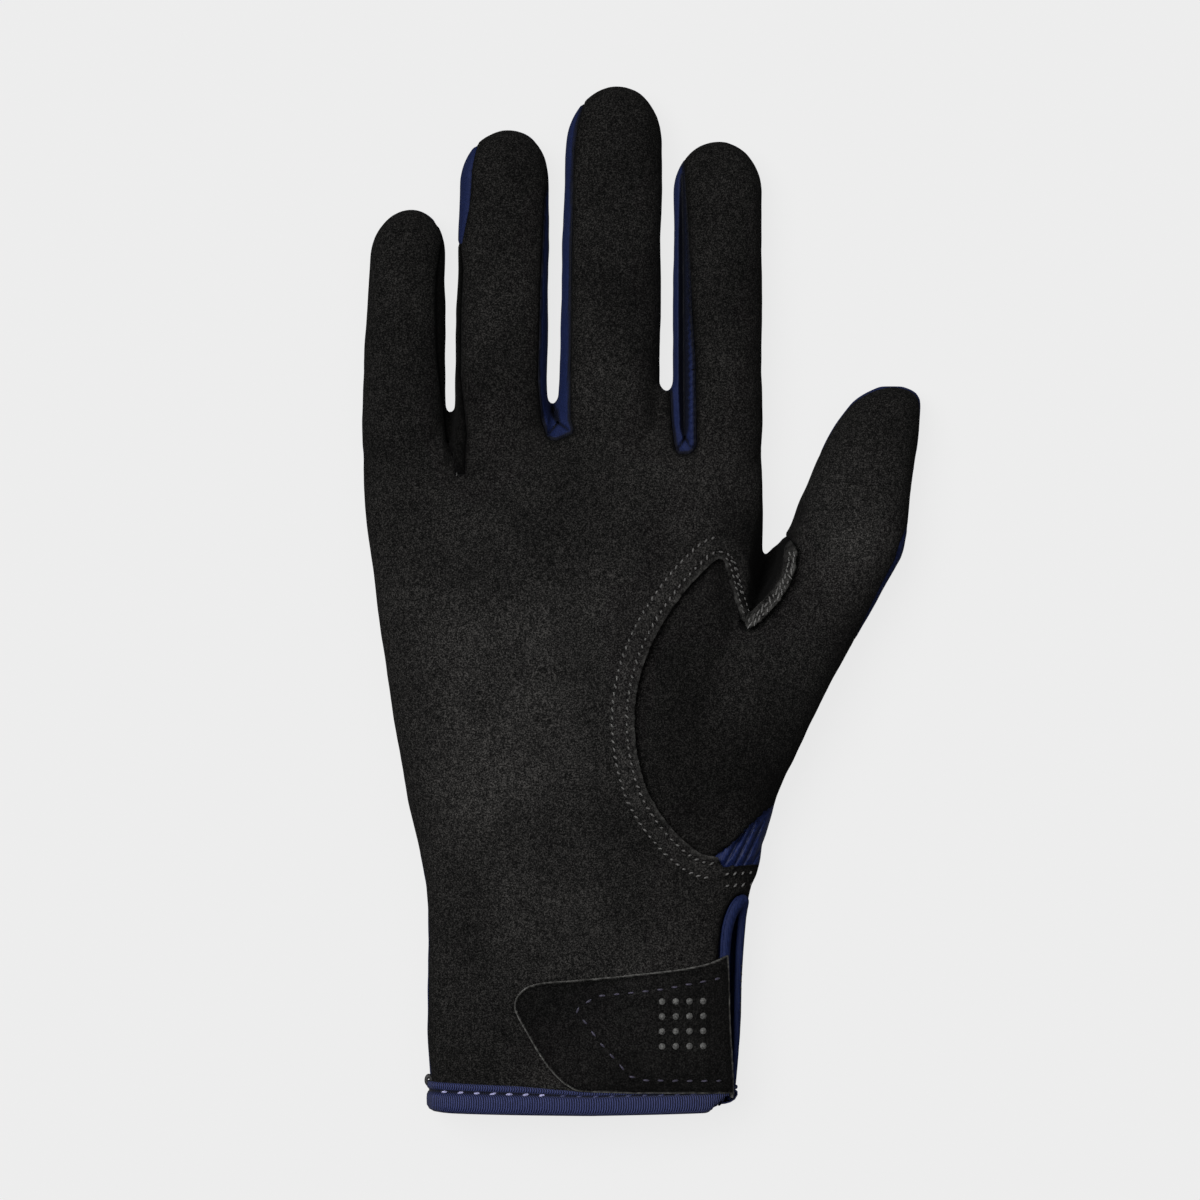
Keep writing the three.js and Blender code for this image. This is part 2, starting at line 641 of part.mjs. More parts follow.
// The rolled edge round the vent: up along the palm, round the head and down along the back
function ventBinding() {
  const foot = HEM_BAND + CLEARANCE;
  const head = ventEdge[0].y - VENT_TOP_RADIUS - CLEARANCE;
  const radiusAt = (y) => mix(VENT_FOOT_RADIUS, VENT_TOP_RADIUS, (y - foot) / (head - foot));
  const sideAt = (y) => {
    const oval = palmSectionAt(y);
    return oval.x + oval.halfWidth - radiusAt(y);
  };
  const overBack = (y) => SIDE_SEAM[0].height * PALM_DEPTH + CLEARANCE + radiusAt(y);
  const upper = movedLeft(ventEdge, VENT_TOP_RADIUS + CLEARANCE).reverse();
  const up = [new THREE.Vector2(upper[0].x, foot), ...upper].map((point) => {
    const underTop = palmTop(point) - radiusAt(point.y);
    return new THREE.Vector3(point.x, point.y, Math.max(underTop, overBack(point.y)));
  });
  const down = VENT_DOWN_SHARES.map((share) => {
    const y = mix(foot, head, share);
    return new THREE.Vector3(sideAt(y), y, overBack(y));
  });
  const path = new THREE.CatmullRomCurve3([...up, ...down]).getPoints(VENT_STEPS);
  return rod(path, path.map(({ y }) => radiusAt(y)), BEAD_SIDES, VENT_FACING);
}

// A sheet that lies on the palm, from one height over its surface to another
function sheetOnPalm(outline, low, high) {
  return mainBody(
    palmLimb(-high, -FAR).subtract(palmLimb(-low, -FAR)).intersect(prism(outline)).intersect(upperHalf),
  );
}

const tabLow = CLEARANCE + HOOK_PAD + CLEARANCE;
const hookPad = sheetOnPalm(HOOK_PAD_OUTLINE.map(plan), CLEARANCE, CLEARANCE + HOOK_PAD);
const closureTab = sheetOnPalm([...smoothLine(TAB_OUTLINE, 36)].reverse(), tabLow, tabLow + TAB);

// The assembly

const glove = new THREE.Group();

function addPiece(name, solid, finish) {
  const mesh = new THREE.Mesh(geometryOf(solid), new THREE.MeshStandardMaterial(finish));
  mesh.name = name;
  glove.add(mesh);
}

addPiece("palm_panel", palmPanel, BLACK_SUEDE);
addPiece("back_panel", backPanel, NAVY_KNIT);
addPiece("thumb_front", thumbFront, BLACK_SUEDE);
addPiece("thumb_back", thumbBack, NAVY_KNIT);
addPiece("thumb_gusset", thumbGusset, NAVY_KNIT);
addPiece("rein_patch", reinPatch, BLACK_SUEDE);
addPiece("fork_strip_ring", ringStrip, NAVY_KNIT);
for (const fork of plainForks) addPiece(`fork_${fork.name}`, forkPanel(fork), NAVY_KNIT);
addPiece("hem_binding", hemBinding, NAVY_ELASTIC);
addPiece("vent_binding", ventBinding(), NAVY_ELASTIC);
addPiece("hook_pad", hookPad, BLACK_HOOKS);
addPiece("closure_tab", closureTab, BLACK_SUEDE);

// The origin is under the middle of the glove, on the surface that it lies on
const room = new THREE.Box3().setFromObject(glove);
const middle = room.getCenter(new THREE.Vector3());
glove.position.set(-middle.x, -middle.y, -room.min.z);

export default glove;
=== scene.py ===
"""Right-hand riding glove, palm up: sewn suede and knit panels, bindings, closure tab, stitches and studio.

The panels are cut from one smooth form of limbs. Lengths are metres. +Y runs from the hem to the fingertips,
+X to the thumb side and +Z out of the palm.
"""

import sys
import logging
import math
import random
from collections.abc import Sequence
from dataclasses import dataclass, field
from enum import Enum
from typing import Protocol

import bmesh
import bpy
import numpy as np
from mathutils import Matrix, Vector, noise
from mathutils.bvhtree import BVHTree
from mathutils.kdtree import KDTree


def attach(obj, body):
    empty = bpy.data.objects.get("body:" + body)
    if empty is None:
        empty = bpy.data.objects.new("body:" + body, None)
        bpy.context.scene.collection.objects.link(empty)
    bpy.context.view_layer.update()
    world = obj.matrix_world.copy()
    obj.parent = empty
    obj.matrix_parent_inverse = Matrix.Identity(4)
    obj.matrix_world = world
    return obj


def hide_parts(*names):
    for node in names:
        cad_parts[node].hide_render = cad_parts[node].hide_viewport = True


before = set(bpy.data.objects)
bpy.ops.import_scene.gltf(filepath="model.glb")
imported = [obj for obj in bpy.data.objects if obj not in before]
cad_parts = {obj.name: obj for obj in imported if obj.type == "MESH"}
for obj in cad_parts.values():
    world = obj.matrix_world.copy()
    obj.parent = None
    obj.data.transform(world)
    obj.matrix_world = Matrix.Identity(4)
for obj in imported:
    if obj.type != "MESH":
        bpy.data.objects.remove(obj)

LOG = logging.getLogger("glove")

MM = 0.001
FAR = 0.4
ABOVE = 0.1
DOWN = Vector((0, 0, -1))

Rows = tuple[tuple[float, ...], ...]

# The glove's main sizes
PALM_LENGTH = 154 * MM
PALM_WIDTH = 91.5 * MM
PALM_DEPTH = 23 * MM
FINGER_DEPTH = 16 * MM
FINGER_BURIED = 38 * MM
THUMB_LENGTH = 109 * MM
THUMB_DEPTH = 21 * MM
HEM_BAND = 6.4 * MM
HEM_LIFT = 1.1 * MM
WALL = 1.0 * MM
STRIP_WALL = 0.7 * MM

# The wrist's centre line on the hem, where every share is counted from
WRIST = Vector((-13.084 * MM, -117.347 * MM))


class Side(Enum):
    """What is kept of a solid when another meets it."""

    INSIDE = "INTERSECT"
    OUTSIDE = "DIFFERENCE"
    BOTH = "UNION"


# Lines and heights


def mix(low: float, high: float, share: float) -> float:
    """Return the value that lies a share of the way from low to high."""
    return low + (high - low) * share


def clamped(value: float) -> float:
    """Return the value held between 0 and 1."""
    return min(max(value, 0), 1)


def plan(across: float, along: float) -> Vector:
    """Return the place in plan of a point given as shares of the palm's width and length."""
    return Vector((WRIST.x + across * PALM_WIDTH, WRIST.y + along * PALM_LENGTH))


def on_plan(shares: Sequence[tuple[float, float]]) -> list[Vector]:
    """Return the places in plan of several points given as shares."""
    return [plan(*point) for point in shares]


def curve_at(points: list[Vector], place: float) -> Vector:
    """Return a point of the smooth curve through some points.

    Args:
        points: the points that the curve runs through.
        place: the place on the curve, counted in points.

    Returns:
        The curve's point there.
    """
    last = len(points) - 1
    start = min(int(place), last - 1)
    t = place - start
    a, b, c, d = (points[min(max(start + shift, 0), last)] for shift in (-1, 0, 1, 2))
    square = 2 * a - 5 * b + 4 * c - d
    cube = 3 * b - a - 3 * c + d
    return 0.5 * (2 * b + (c - a) * t + square * t * t + cube * t**3)


def read_column(rows: Rows, places: np.ndarray | float, column: int) -> np.ndarray:
    """Read a column of a table at places between the values of its first column."""
    return np.interp(places, [row[0] for row in rows], [row[column] for row in rows])


def smooth_line(shares: list[tuple[float, float]], steps: int) -> list[Vector]:
    """Draw a smooth line through points of the palm.

    Args:
        shares: the points, as shares of the palm's width and length.
        steps: how many pieces the line is cut into.

    Returns:
        The line's points in plan.
    """
    points = on_plan(shares)
    return [curve_at(points, (len(points) - 1) * step / steps) for step in range(steps + 1)]


def moved_left(line: list[Vector], distance: float) -> list[Vector]:
    """Return the line moved sideways, to the left of its own direction."""
    moved = []
    for step, point in enumerate(line):
        along = (line[min(step + 1, len(line) - 1)] - line[max(step - 1, 0)]).normalized()
        moved.append(Vector((point.x - along.y * distance, point.y + along.x * distance)))
    return moved


def lapped(line: list[Vector], distance: float) -> list[Vector]:
    """Return the line moved to its left, without the loops that sharp corners would make."""
    moved = moved_left(line, distance)
    gaps, _ = along_line(np.array([point[:] for point in moved]), line)
    return [point for point, gap in zip(moved, gaps) if gap > 0.97 * abs(distance)]


def spaced(line: list[Vector], pitch: float) -> list[tuple[Vector, Vector]]:
    """Step along a line.

    Args:
        line: the line's points, in plan or in space.
        pitch: the distance between two steps.

    Returns:
        Pairs of a place and the line's direction there.
    """
    steps = []
    left = pitch / 2
    for start, end in zip(line, line[1:]):
        reach = (end - start).length
        while left <= reach:
            steps.append((start.lerp(end, left / reach), (end - start).normalized()))
            left += pitch
        left -= reach
    return steps


def cubic(rows: list[tuple[float, float]], at: float) -> float:
    """Read a smooth curve through (place, value) rows at a place.

    Args:
        rows: the curve's (place, value) rows.
        at: the place.

    Returns:
        The value there.
    """
    places = [row[0] for row in rows]
    values = [row[1] for row in rows]
    if at <= places[0]:
        return values[0]
    if at >= places[-1]:
        return values[-1]
    row = next(index for index, place in enumerate(places) if place > at) - 1
    gap = places[row + 1] - places[row]

    def slope(index: int) -> float:
        """Return the curve's slope at one of its rows."""
        low, high = max(index - 1, 0), min(index + 1, len(rows) - 1)
        return (values[high] - values[low]) / (places[high] - places[low])

    t = (at - places[row]) / gap
    return (
        (2 * t**3 - 3 * t**2 + 1) * values[row]
        + (t**3 - 2 * t**2 + t) * gap * slope(row)
        + (3 * t**2 - 2 * t**3) * values[row + 1]
        + (t**3 - t**2) * gap * slope(row + 1)
    )


def smoothstep(values: np.ndarray) -> np.ndarray:
    """Return 0 below 0, 1 above 1 and a smooth ramp between them."""
    t = np.clip(values, 0, 1)
    return t * t * (3 - 2 * t)


def along_line(points: np.ndarray, line: list[Vector]) -> tuple[np.ndarray, np.ndarray]:
    """Measure points against a line in plan.

    Args:
        points: an array of points, of which the first two columns are read.
        line: the line's points.

    Returns:
        Each point's distance from the line, and the share of the line where it is nearest.
    """
    flat = points[:, :2]
    best = np.full(len(flat), FAR)
    share = np.zeros(len(flat))
    reach = [0.0]
    for start, end in zip(line, line[1:]):
        reach.append(reach[-1] + (end - start).length)
    for step, (start, end) in enumerate(zip(line, line[1:])):
        a = np.array(start[:2])
        run = np.array(end[:2]) - a
        length = float(run @ run)
        t = np.clip(((flat - a) @ run) / max(length, 1e-12), 0, 1)
        gap = np.linalg.norm(flat - a - t[:, None] * run, axis=1)
        nearer = gap < best
        best[nearer] = gap[nearer]
        share[nearer] = (reach[step] + t[nearer] * math.sqrt(length)) / reach[-1]
    return best, share


def inside(points: np.ndarray, outline: list[Vector]) -> np.ndarray:
    """Say for each point whether it lies inside a closed outline in plan.

    Args:
        points: an array of points.
        outline: the closed outline.

    Returns:
        True for each point inside.
    """
    x, y = points[:, 0], points[:, 1]
    found = np.zeros(len(points), dtype=bool)
    for start, end in zip(outline, outline[1:] + outline[:1]):
        if start.y == end.y:
            continue
        crosses = (start.y > y) != (end.y > y)
        found ^= crosses & (x < (end.x - start.x) * (y - start.y) / (end.y - start.y) + start.x)
    return found


# Meshes


def as_object(name: str, bm: bmesh.types.BMesh) -> bpy.types.Object:
    """Turn a bmesh into an object in the scene."""
    mesh = bpy.data.meshes.new(name)
    bm.to_mesh(mesh)
    bm.free()
    made = bpy.data.objects.new(name, mesh)
    bpy.context.scene.collection.objects.link(made)
    return made


def discard(made: bpy.types.Object) -> None:
    """Take a helper object and its mesh out of the file."""
    mesh = made.data
    bpy.data.objects.remove(made)
    bpy.data.meshes.remove(mesh)


def settled(made: bpy.types.Object, name: str) -> bpy.types.Object:
    """Return a new object whose mesh is the given one with its modifiers applied, and drop the given one."""
    graph = bpy.context.evaluated_depsgraph_get()
    mesh = bpy.data.meshes.new_from_object(made.evaluated_get(graph))
    discard(made)
    mesh.name = name
    result = bpy.data.objects.new(name, mesh)
    bpy.context.scene.collection.objects.link(result)
    return result


def opened(mesh: bpy.types.Mesh) -> bmesh.types.BMesh:
    """Return a new bmesh that holds a mesh."""
    bm = bmesh.new()
    bm.from_mesh(mesh)
    return bm


def coordinates(mesh: bpy.types.Mesh) -> np.ndarray:
    """Return the mesh's vertex places as an array."""
    flat = np.empty(len(mesh.vertices) * 3)
    mesh.vertices.foreach_get("co", flat)
    return flat.reshape(-1, 3)


def normals(mesh: bpy.types.Mesh) -> np.ndarray:
    """Return the mesh's vertex normals as an array."""
    flat = np.empty(len(mesh.vertices) * 3)
    mesh.vertices.foreach_get("normal", flat)
    return flat.reshape(-1, 3)


def set_coordinates(mesh: bpy.types.Mesh, places: np.ndarray) -> None:
    """Move the mesh's vertices to the given places."""
    mesh.vertices.foreach_set("co", places.ravel())
    mesh.update()


def pushed_out(outline: list[tuple[float, float, float]], push: Vector) -> bpy.types.Object:
    """Make a solid by pushing a closed flat outline along a vector.

    Args:
        outline: the outline's corners.
        push: how far and which way it is pushed.

    Returns:
        The solid.
    """
    bm = bmesh.new()
    corners = [bm.verts.new(point) for point in outline]
    edges = [bm.edges.new((start, end)) for start, end in zip(corners, corners[1:] + corners[:1])]
    base = bmesh.ops.contextual_create(bm, geom=edges)["faces"]
    moved = bmesh.ops.extrude_face_region(bm, geom=base)["geom"]
    bmesh.ops.translate(bm, vec=push, verts=[part for part in moved if isinstance(part, bmesh.types.BMVert)])
    bmesh.ops.triangulate(bm, faces=bm.faces)
    bmesh.ops.recalc_face_normals(bm, faces=bm.faces)
    return as_object("cutter", bm)


def prism(outline: list[Vector]) -> bpy.types.Object:
    """Make a tall solid that stands on a closed outline in plan."""
    return pushed_out([(point.x, point.y, -FAR) for point in outline], Vector((0, 0, 2 * FAR)))


def slab_over(line: list[tuple[float, float]], left: float = -FAR, right: float = FAR) -> bpy.types.Object:
    """Make the solid above a line of (y, height) points that runs along the glove, between two x places."""
    outline = [*line, (line[-1][0], FAR), (line[0][0], FAR)]
    return pushed_out([(left, y, z) for y, z in outline], Vector((right - left, 0, 0)))


def cut(source: bpy.types.Object, cutter: bpy.types.Object, side: Side) -> bpy.types.Object:
    """Cut a closed solid by another and return the new closed solid. The source is kept.

    Args:
        source: the closed solid to cut.
        cutter: the closed solid that cuts.
        side: what is kept.

    Returns:
        The new solid.
    """
    copy = bpy.data.objects.new("cut", source.data.copy())
    bpy.context.scene.collection.objects.link(copy)
    knife = copy.modifiers.new("knife", "BOOLEAN")
    knife.operation = side.value
    knife.object = cutter
    knife.solver = "MANIFOLD"
    return settled(copy, "cut")


def ring_edges(ring: list[bmesh.types.BMVert]) -> list[bmesh.types.BMEdge]:
    """Return the edges that join a ring's vertices to each other."""
    members = set(ring)
    return list({edge for vert in ring for edge in vert.link_edges if edge.other_vert(vert) in members})


def bridged(bm: bmesh.types.BMesh, rings: list[list[bmesh.types.BMVert]], capped: bool) -> None:
    """Join a row of rings into a skin, with closed ends where asked."""
    edges = [ring_edges(ring) for ring in rings]
    for first, second in zip(edges, edges[1:]):
        bmesh.ops.bridge_loops(bm, edges=first + second)
    if capped:
        for end in (edges[0], edges[-1]):
            bmesh.ops.contextual_create(bm, geom=end)
    bmesh.ops.recalc_face_normals(bm, faces=bm.faces)


@dataclass(frozen=True)
class Oval:
    """A cross-section of a limb at a place along the glove: a rounded oval with a flat underside."""

    y: float
    x: float
    half_width: float
    z: float
    half_depth: float
    floor: float = 0.0
    roundness: float = 2.3

    def grown(self, by: float) -> "Oval":
        """Return the oval grown outwards by a distance."""
        width, depth, floor = self.half_width + by, self.half_depth + by, self.floor - by
        return Oval(self.y, self.x, width, self.z, depth, floor, self.roundness)

    def ring(self, bm: bmesh.types.BMesh, sides: int) -> list[bmesh.types.BMVert]:
        """Add the oval to a bmesh as a ring of vertices joined by edges, starting on the thumb's side."""
        ring = bmesh.ops.create_circle(bm, segments=sides, radius=1.0)["verts"]
        for vert in ring:
            angle = math.atan2(vert.co.y, vert.co.x)
            across, up = (
                math.copysign(abs(share) ** (2 / self.roundness), share)
                for share in (math.cos(angle), math.sin(angle))
            )
            vert.co = (
                self.x + self.half_width * across,
                self.y,
                max(self.z + self.half_depth * up, self.floor),
            )
        return ring


def tube(
    bm: bmesh.types.BMesh, path: list[Vector], radii: list[tuple[float, float]], outward: Vector, sides: int
) -> None:
    """Add a tube with an oval section along a path.

    Args:
        bm: the bmesh to add to.
        path: the middle of the tube.
        radii: at each point of the path, half of the width across and half of the height.
        outward: the direction that the tube's height points in.
        sides: how many sides the section has.
    """
    rings = []
    for step, point in enumerate(path):
        along = (path[min(step + 1, len(path) - 1)] - path[max(step - 1, 0)]).normalized()
        side = along.cross(outward).normalized()
        up = side.cross(along)
        ring = bmesh.ops.create_circle(bm, segments=sides, radius=1.0)["verts"]
        wide, high = radii[step]
        for vert in ring:
            vert.co = point + side * (vert.co.x * wide) + up * (vert.co.y * high)
        rings.append(ring)
    bridged(bm, rings, capped=True)


# Finishes


class NodeTree:
    """A short way to write a material's nodes."""

    def __init__(self, name: str) -> None:
        """Start an empty material that has a shader and an output."""
        self.material = bpy.data.materials.new(name)
        self.material.use_nodes = True
        self.nodes = self.material.node_tree.nodes
        self.links = self.material.node_tree.links
        self.shader = self.nodes["Principled BSDF"]

    def node(self, kind: str, **values: object) -> bpy.types.Node:
        """Add a node, with attributes by name and inputs by name in a dictionary called inputs.

        Args:
            kind: the node's type.
            values: its attributes, and a dictionary called inputs.

        Returns:
            The node.
        """
        made = self.nodes.new(kind)
        for key, value in values.pop("inputs", {}).items():
            made.inputs[key].default_value = value
        for key, value in values.items():
            setattr(made, key, value)
        return made

    def place(
        self, scale: tuple[float, float, float] = (1, 1, 1), turn: tuple[float, float, float] = (0, 0, 0)
    ) -> bpy.types.NodeSocket:
        """Return the object's own coordinates, turned and scaled."""
        where = self.node("ShaderNodeTexCoord")
        mapping = self.node("ShaderNodeMapping", inputs={"Scale": scale, "Rotation": turn})
        self.links.new(where.outputs["Object"], mapping.inputs["Vector"])
        return mapping.outputs["Vector"]

    def grain(
        self, at: bpy.types.NodeSocket, scale: float, detail: float = 4, rough: float = 0.6
    ) -> bpy.types.NodeSocket:
        """Return a soft noise read at a place."""
        made = self.node("ShaderNodeTexNoise", inputs={"Scale": scale, "Detail": detail, "Roughness": rough})
        self.links.new(at, made.inputs["Vector"])
        return made.outputs["Fac"]

    def ramp(self, factor: bpy.types.NodeSocket, stops: list[tuple[float, tuple]]) -> bpy.types.NodeSocket:
        """Return a colour read from a row of (place, colour) stops."""
        made = self.node("ShaderNodeValToRGB")
        elements = made.color_ramp.elements
        while len(elements) < len(stops):
            elements.new(0.5)
        for element, (position, colour) in zip(elements, stops):
            element.position = position
            element.color = (*colour, 1)
        self.links.new(factor, made.inputs["Fac"])
        return made.outputs["Color"]

    def blended(
        self, mode: str, share: float, first: bpy.types.NodeSocket, second: bpy.types.NodeSocket
    ) -> bpy.types.NodeSocket:
        """Return two colours mixed."""
        made = self.node("ShaderNodeMix", data_type="RGBA", blend_type=mode, inputs={"Factor": share})
        self.links.new(first, made.inputs["A"])
        self.links.new(second, made.inputs["B"])
        return made.outputs["Result"]

    def maths(
        self, operation: str, first: bpy.types.NodeSocket, second: bpy.types.NodeSocket | float = 0.5
    ) -> bpy.types.NodeSocket:
        """Return the result of a sum on one or two values.

        Args:
            operation: the sum.
            first: its first value.
            second: its second value.

        Returns:
            The result.
        """
        made = self.node("ShaderNodeMath", operation=operation)
        self.links.new(first, made.inputs[0])
        if isinstance(second, bpy.types.NodeSocket):
            self.links.new(second, made.inputs[1])
        else:
            made.inputs[1].default_value = second
        return made.outputs[0]

    def in_shade(self, colour: bpy.types.NodeSocket) -> bpy.types.NodeSocket:
        """Paint shade on a colour, as strongly as a mesh attribute says that a place lies deep."""
        painted_shade = self.node("ShaderNodeAttribute", attribute_name="painted_shade")
        shown = self.maths("SUBTRACT", self.maths("MULTIPLY", painted_shade.outputs["Fac"], 0.94), 1.0)
        seen = self.node("ShaderNodeCombineColor")
        for channel in seen.inputs:
            self.links.new(self.maths("MULTIPLY", shown, -1.0), channel)
        return self.blended("MULTIPLY", 1.0, colour, seen.outputs["Color"])

    def paint(self, colour: bpy.types.NodeSocket) -> None:
        """Give the shader its base colour."""
        self.links.new(colour, self.shader.inputs["Base Color"])

    def relief(self, height: bpy.types.NodeSocket, strength: float, distance: float) -> None:
        """Add a bump to the shader's normal."""
        made = self.node("ShaderNodeBump", inputs={"Strength": strength, "Distance": distance})
        self.links.new(height, made.inputs["Height"])
        self.links.new(made.outputs["Normal"], self.shader.inputs["Normal"])

    def dress(self, **values: float) -> None:
        """Set uniform values on the shader's own sockets, by names with underscores for spaces."""
        for key, value in values.items():
            self.shader.inputs[key.replace("_", " ")].default_value = value


@dataclass(frozen=True)
class SuedeFinish:
    """Synthetic suede: a short sueded pile with a mottled grain.

    One mesh attribute scales the colour: lighter and darker patches of the pile together with painted light
    and painted shade (a lit middle of the palm, painted shade along the panels' edges and in the thumb's
    web). The attribute named worn says how much of the pale cut edge shows.
    """

    name: str
    dark: tuple[float, float, float] = (0.0024, 0.0024, 0.0024)
    middle: tuple[float, float, float] = (0.0118, 0.0115, 0.0113)
    light: tuple[float, float, float] = (0.053, 0.051, 0.049)
    edge: tuple[float, float, float] = (0.12, 0.118, 0.112)
    grain: float = 2900.0
    patches: float = 38.0

    def material(self) -> bpy.types.Material:
        """Make the material."""
        tree = NodeTree(self.name)
        here = tree.place()
        fine = tree.grain(here, self.grain, detail=3, rough=0.65)
        tufts = tree.grain(tree.place((1.0, 0.6, 1.0)), self.grain * 0.4, detail=3)
        speckle = tree.maths("ADD", tree.maths("MULTIPLY", fine, 0.78), tree.maths("MULTIPLY", tufts, 0.22))
        colour = tree.ramp(speckle, [(0.38, self.dark), (0.5, self.middle), (0.63, self.light)])
        broad = tree.grain(here, self.patches, detail=5)
        shade = tree.ramp(broad, [(0.32, (0.62, 0.62, 0.62)), (0.68, (1.38, 1.37, 1.35))])
        # This attribute carries painted light and painted shade together with the pile's own lighter and
        # darker patches.
        nap_and_light_attribute = tree.node("ShaderNodeAttribute", attribute_name="nap")
        lit = tree.node("ShaderNodeCombineColor")
        for channel in lit.inputs:
            tree.links.new(nap_and_light_attribute.outputs["Fac"], channel)
        mottled = tree.blended("MULTIPLY", 1.0, colour, shade)
        # The grain is multiplied by the painted light and shade.
        grain_and_painted_light = tree.blended("MULTIPLY", 1.0, mottled, lit.outputs["Color"])
        worn = tree.node("ShaderNodeAttribute", attribute_name="worn")
        frayed = tree.maths("MULTIPLY", worn.outputs["Fac"], tree.maths("MULTIPLY", fine, 1.7))
        edged = tree.node("ShaderNodeMix", data_type="RGBA", blend_type="MIX")
        tree.links.new(frayed, edged.inputs["Factor"])
        tree.links.new(grain_and_painted_light, edged.inputs["A"])
        edged.inputs["B"].default_value = (*self.edge, 1)
        tree.paint(edged.outputs["Result"])
        tree.relief(speckle, 0.6, 0.00008)
        tree.dress(Roughness=0.95, Specular_IOR_Level=0.04, Sheen_Weight=0.01, Sheen_Roughness=0.6)
        return tree.material


@dataclass(frozen=True)
class KnitFinish:
    """Fine stretch knit: close ribs with a soft satin sheen.

    A mesh attribute says how deep a place lies in a crease or a seam; painted shade darkens it to match.
    """

    name: str
    colour: tuple[float, float, float] = (0.0032, 0.0068, 0.032)
    light: tuple[float, float, float] = (0.0105, 0.0185, 0.075)
    pitch: float = 0.42 * MM
    roughness: float = 0.66
    sheen: float = 0.04
    relief: float = 0.5

    def material(self) -> bpy.types.Material:
        """Make the material."""
        tree = NodeTree(self.name)
        here = tree.place()
        ribs = tree.node(
            "ShaderNodeTexWave",
            bands_direction="X",
            inputs={"Scale": math.pi / (7 * self.pitch), "Distortion": 1.2, "Detail": 2.0},
        )
        tree.links.new(tree.place(turn=(0, math.radians(45), 0)), ribs.inputs["Vector"])
        courses = tree.node(
            "ShaderNodeTexWave",
            bands_direction="Y",
            inputs={"Scale": math.pi / (7 * self.pitch), "Distortion": 0.8, "Detail": 2.0},
        )
        tree.links.new(here, courses.inputs["Vector"])
        loops = tree.maths(
            "ADD",
            tree.maths("MULTIPLY", ribs.outputs["Fac"], 0.5),
            tree.maths("MULTIPLY", courses.outputs["Fac"], 0.5),
        )
        grain = tree.grain(here, 2200.0, detail=3)
        mottle = tree.maths("ADD", tree.maths("MULTIPLY", loops, 0.4), tree.maths("MULTIPLY", grain, 0.6))
        colour = tree.ramp(mottle, [(0.3, self.colour), (0.7, self.light)])
        # Painted shade in creases and along seams.
        tree.paint(tree.in_shade(colour))
        tree.relief(loops, self.relief, 0.00012)
        tree.dress(
            Roughness=self.roughness, Specular_IOR_Level=0.15, Sheen_Weight=self.sheen, Sheen_Roughness=0.45
        )
        tree.shader.inputs["Sheen Tint"].default_value = (0.35, 0.42, 0.9, 1)
        return tree.material


@dataclass(frozen=True)
class ElasticFinish:
    """Woven elastic tape with ribs across it, which follow the tape's own length."""

    name: str
    dark: tuple[float, float, float] = (0.0015, 0.0025, 0.014)
    light: tuple[float, float, float] = (0.04, 0.05, 0.15)
    pitch: float = 0.56 * MM

    def material(self) -> bpy.types.Material:
        """Make the material. The tape's length is read from the mesh's attribute named around."""
        tree = NodeTree(self.name)
        around = tree.node("ShaderNodeAttribute", attribute_name="around")
        turn = tree.maths("MULTIPLY", around.outputs["Fac"], 2 * math.pi / self.pitch)
        rib = tree.maths("ADD", tree.maths("MULTIPLY", tree.maths("SINE", turn), 0.5), 0.5)
        grain = tree.grain(tree.place((1, 0.25, 1)), 2600.0, detail=3)
        weave = tree.maths("ADD", tree.maths("MULTIPLY", rib, 0.6), tree.maths("MULTIPLY", grain, 0.4))
        colour = tree.ramp(weave, [(0.3, self.dark), (0.72, self.light)])
        # Painted shade in the tape's stitched groove and under the suede's edge.
        tree.paint(tree.in_shade(colour))
        tree.relief(rib, 0.8, 0.0002)
        tree.dress(Roughness=0.6, Specular_IOR_Level=0.2, Sheen_Weight=0.04, Sheen_Roughness=0.4)
        return tree.material


@dataclass(frozen=True)
class ThreadFinish:
    """Twisted sewing thread."""

    name: str
    dark: tuple[float, float, float]
    light: tuple[float, float, float]
    roughness: float = 0.5

    def material(self) -> bpy.types.Material:
        """Make the material."""
        tree = NodeTree(self.name)
        strand = tree.grain(tree.place((1.0, 2.5, 1.0)), 2600.0, detail=2)
        tree.paint(tree.ramp(strand, [(0.35, self.dark), (0.65, self.light)]))
        tree.relief(strand, 0.5, 0.0001)
        tree.dress(Roughness=self.roughness, Specular_IOR_Level=0.4, Sheen_Weight=0.1)
        return tree.material


@dataclass(frozen=True)
class HookFinish:
    """Hook tape: close rows of stiff little hooks."""

    name: str
    pitch: float = 1.1 * MM

    def material(self) -> bpy.types.Material:
        """Make the material."""
        tree = NodeTree(self.name)
        cells = tree.node("ShaderNodeTexVoronoi", inputs={"Scale": 1 / self.pitch, "Randomness": 0.35})
        tree.links.new(tree.place(), cells.inputs["Vector"])
        stops = [(0.1, (0.03, 0.03, 0.03)), (0.6, (0.006, 0.006, 0.006))]
        colour = tree.ramp(cells.outputs["Distance"], stops)
        tree.paint(colour)
        tree.relief(cells.outputs["Distance"], 0.8, 0.0004)
        tree.dress(Roughness=0.6, Specular_IOR_Level=0.3)
        return tree.material


@dataclass(frozen=True)
class PrintFinish:
    """Matt printed ink with small gaps where the suede shows through."""

    name: str

    def material(self) -> bpy.types.Material:
        """Make the material."""
        tree = NodeTree(self.name)
        wear = tree.grain(tree.place(), 2400.0, detail=4, rough=0.7)
        colour = tree.ramp(wear, [(0.38, (0.03, 0.03, 0.03)), (0.62, (0.13, 0.13, 0.125))])
        tree.paint(colour)
        tree.relief(wear, 0.4, 0.0001)
        tree.dress(Roughness=0.7, Specular_IOR_Level=0.25)
        return tree.material


class Finish(Protocol):
    """What every finish can do."""

    def material(self) -> bpy.types.Material:
        """Make the material."""


def made_once(finish: Finish) -> bpy.types.Material:
    """Return a field that holds a finish's material, made with the wardrobe."""
    return field(default_factory=finish.material)


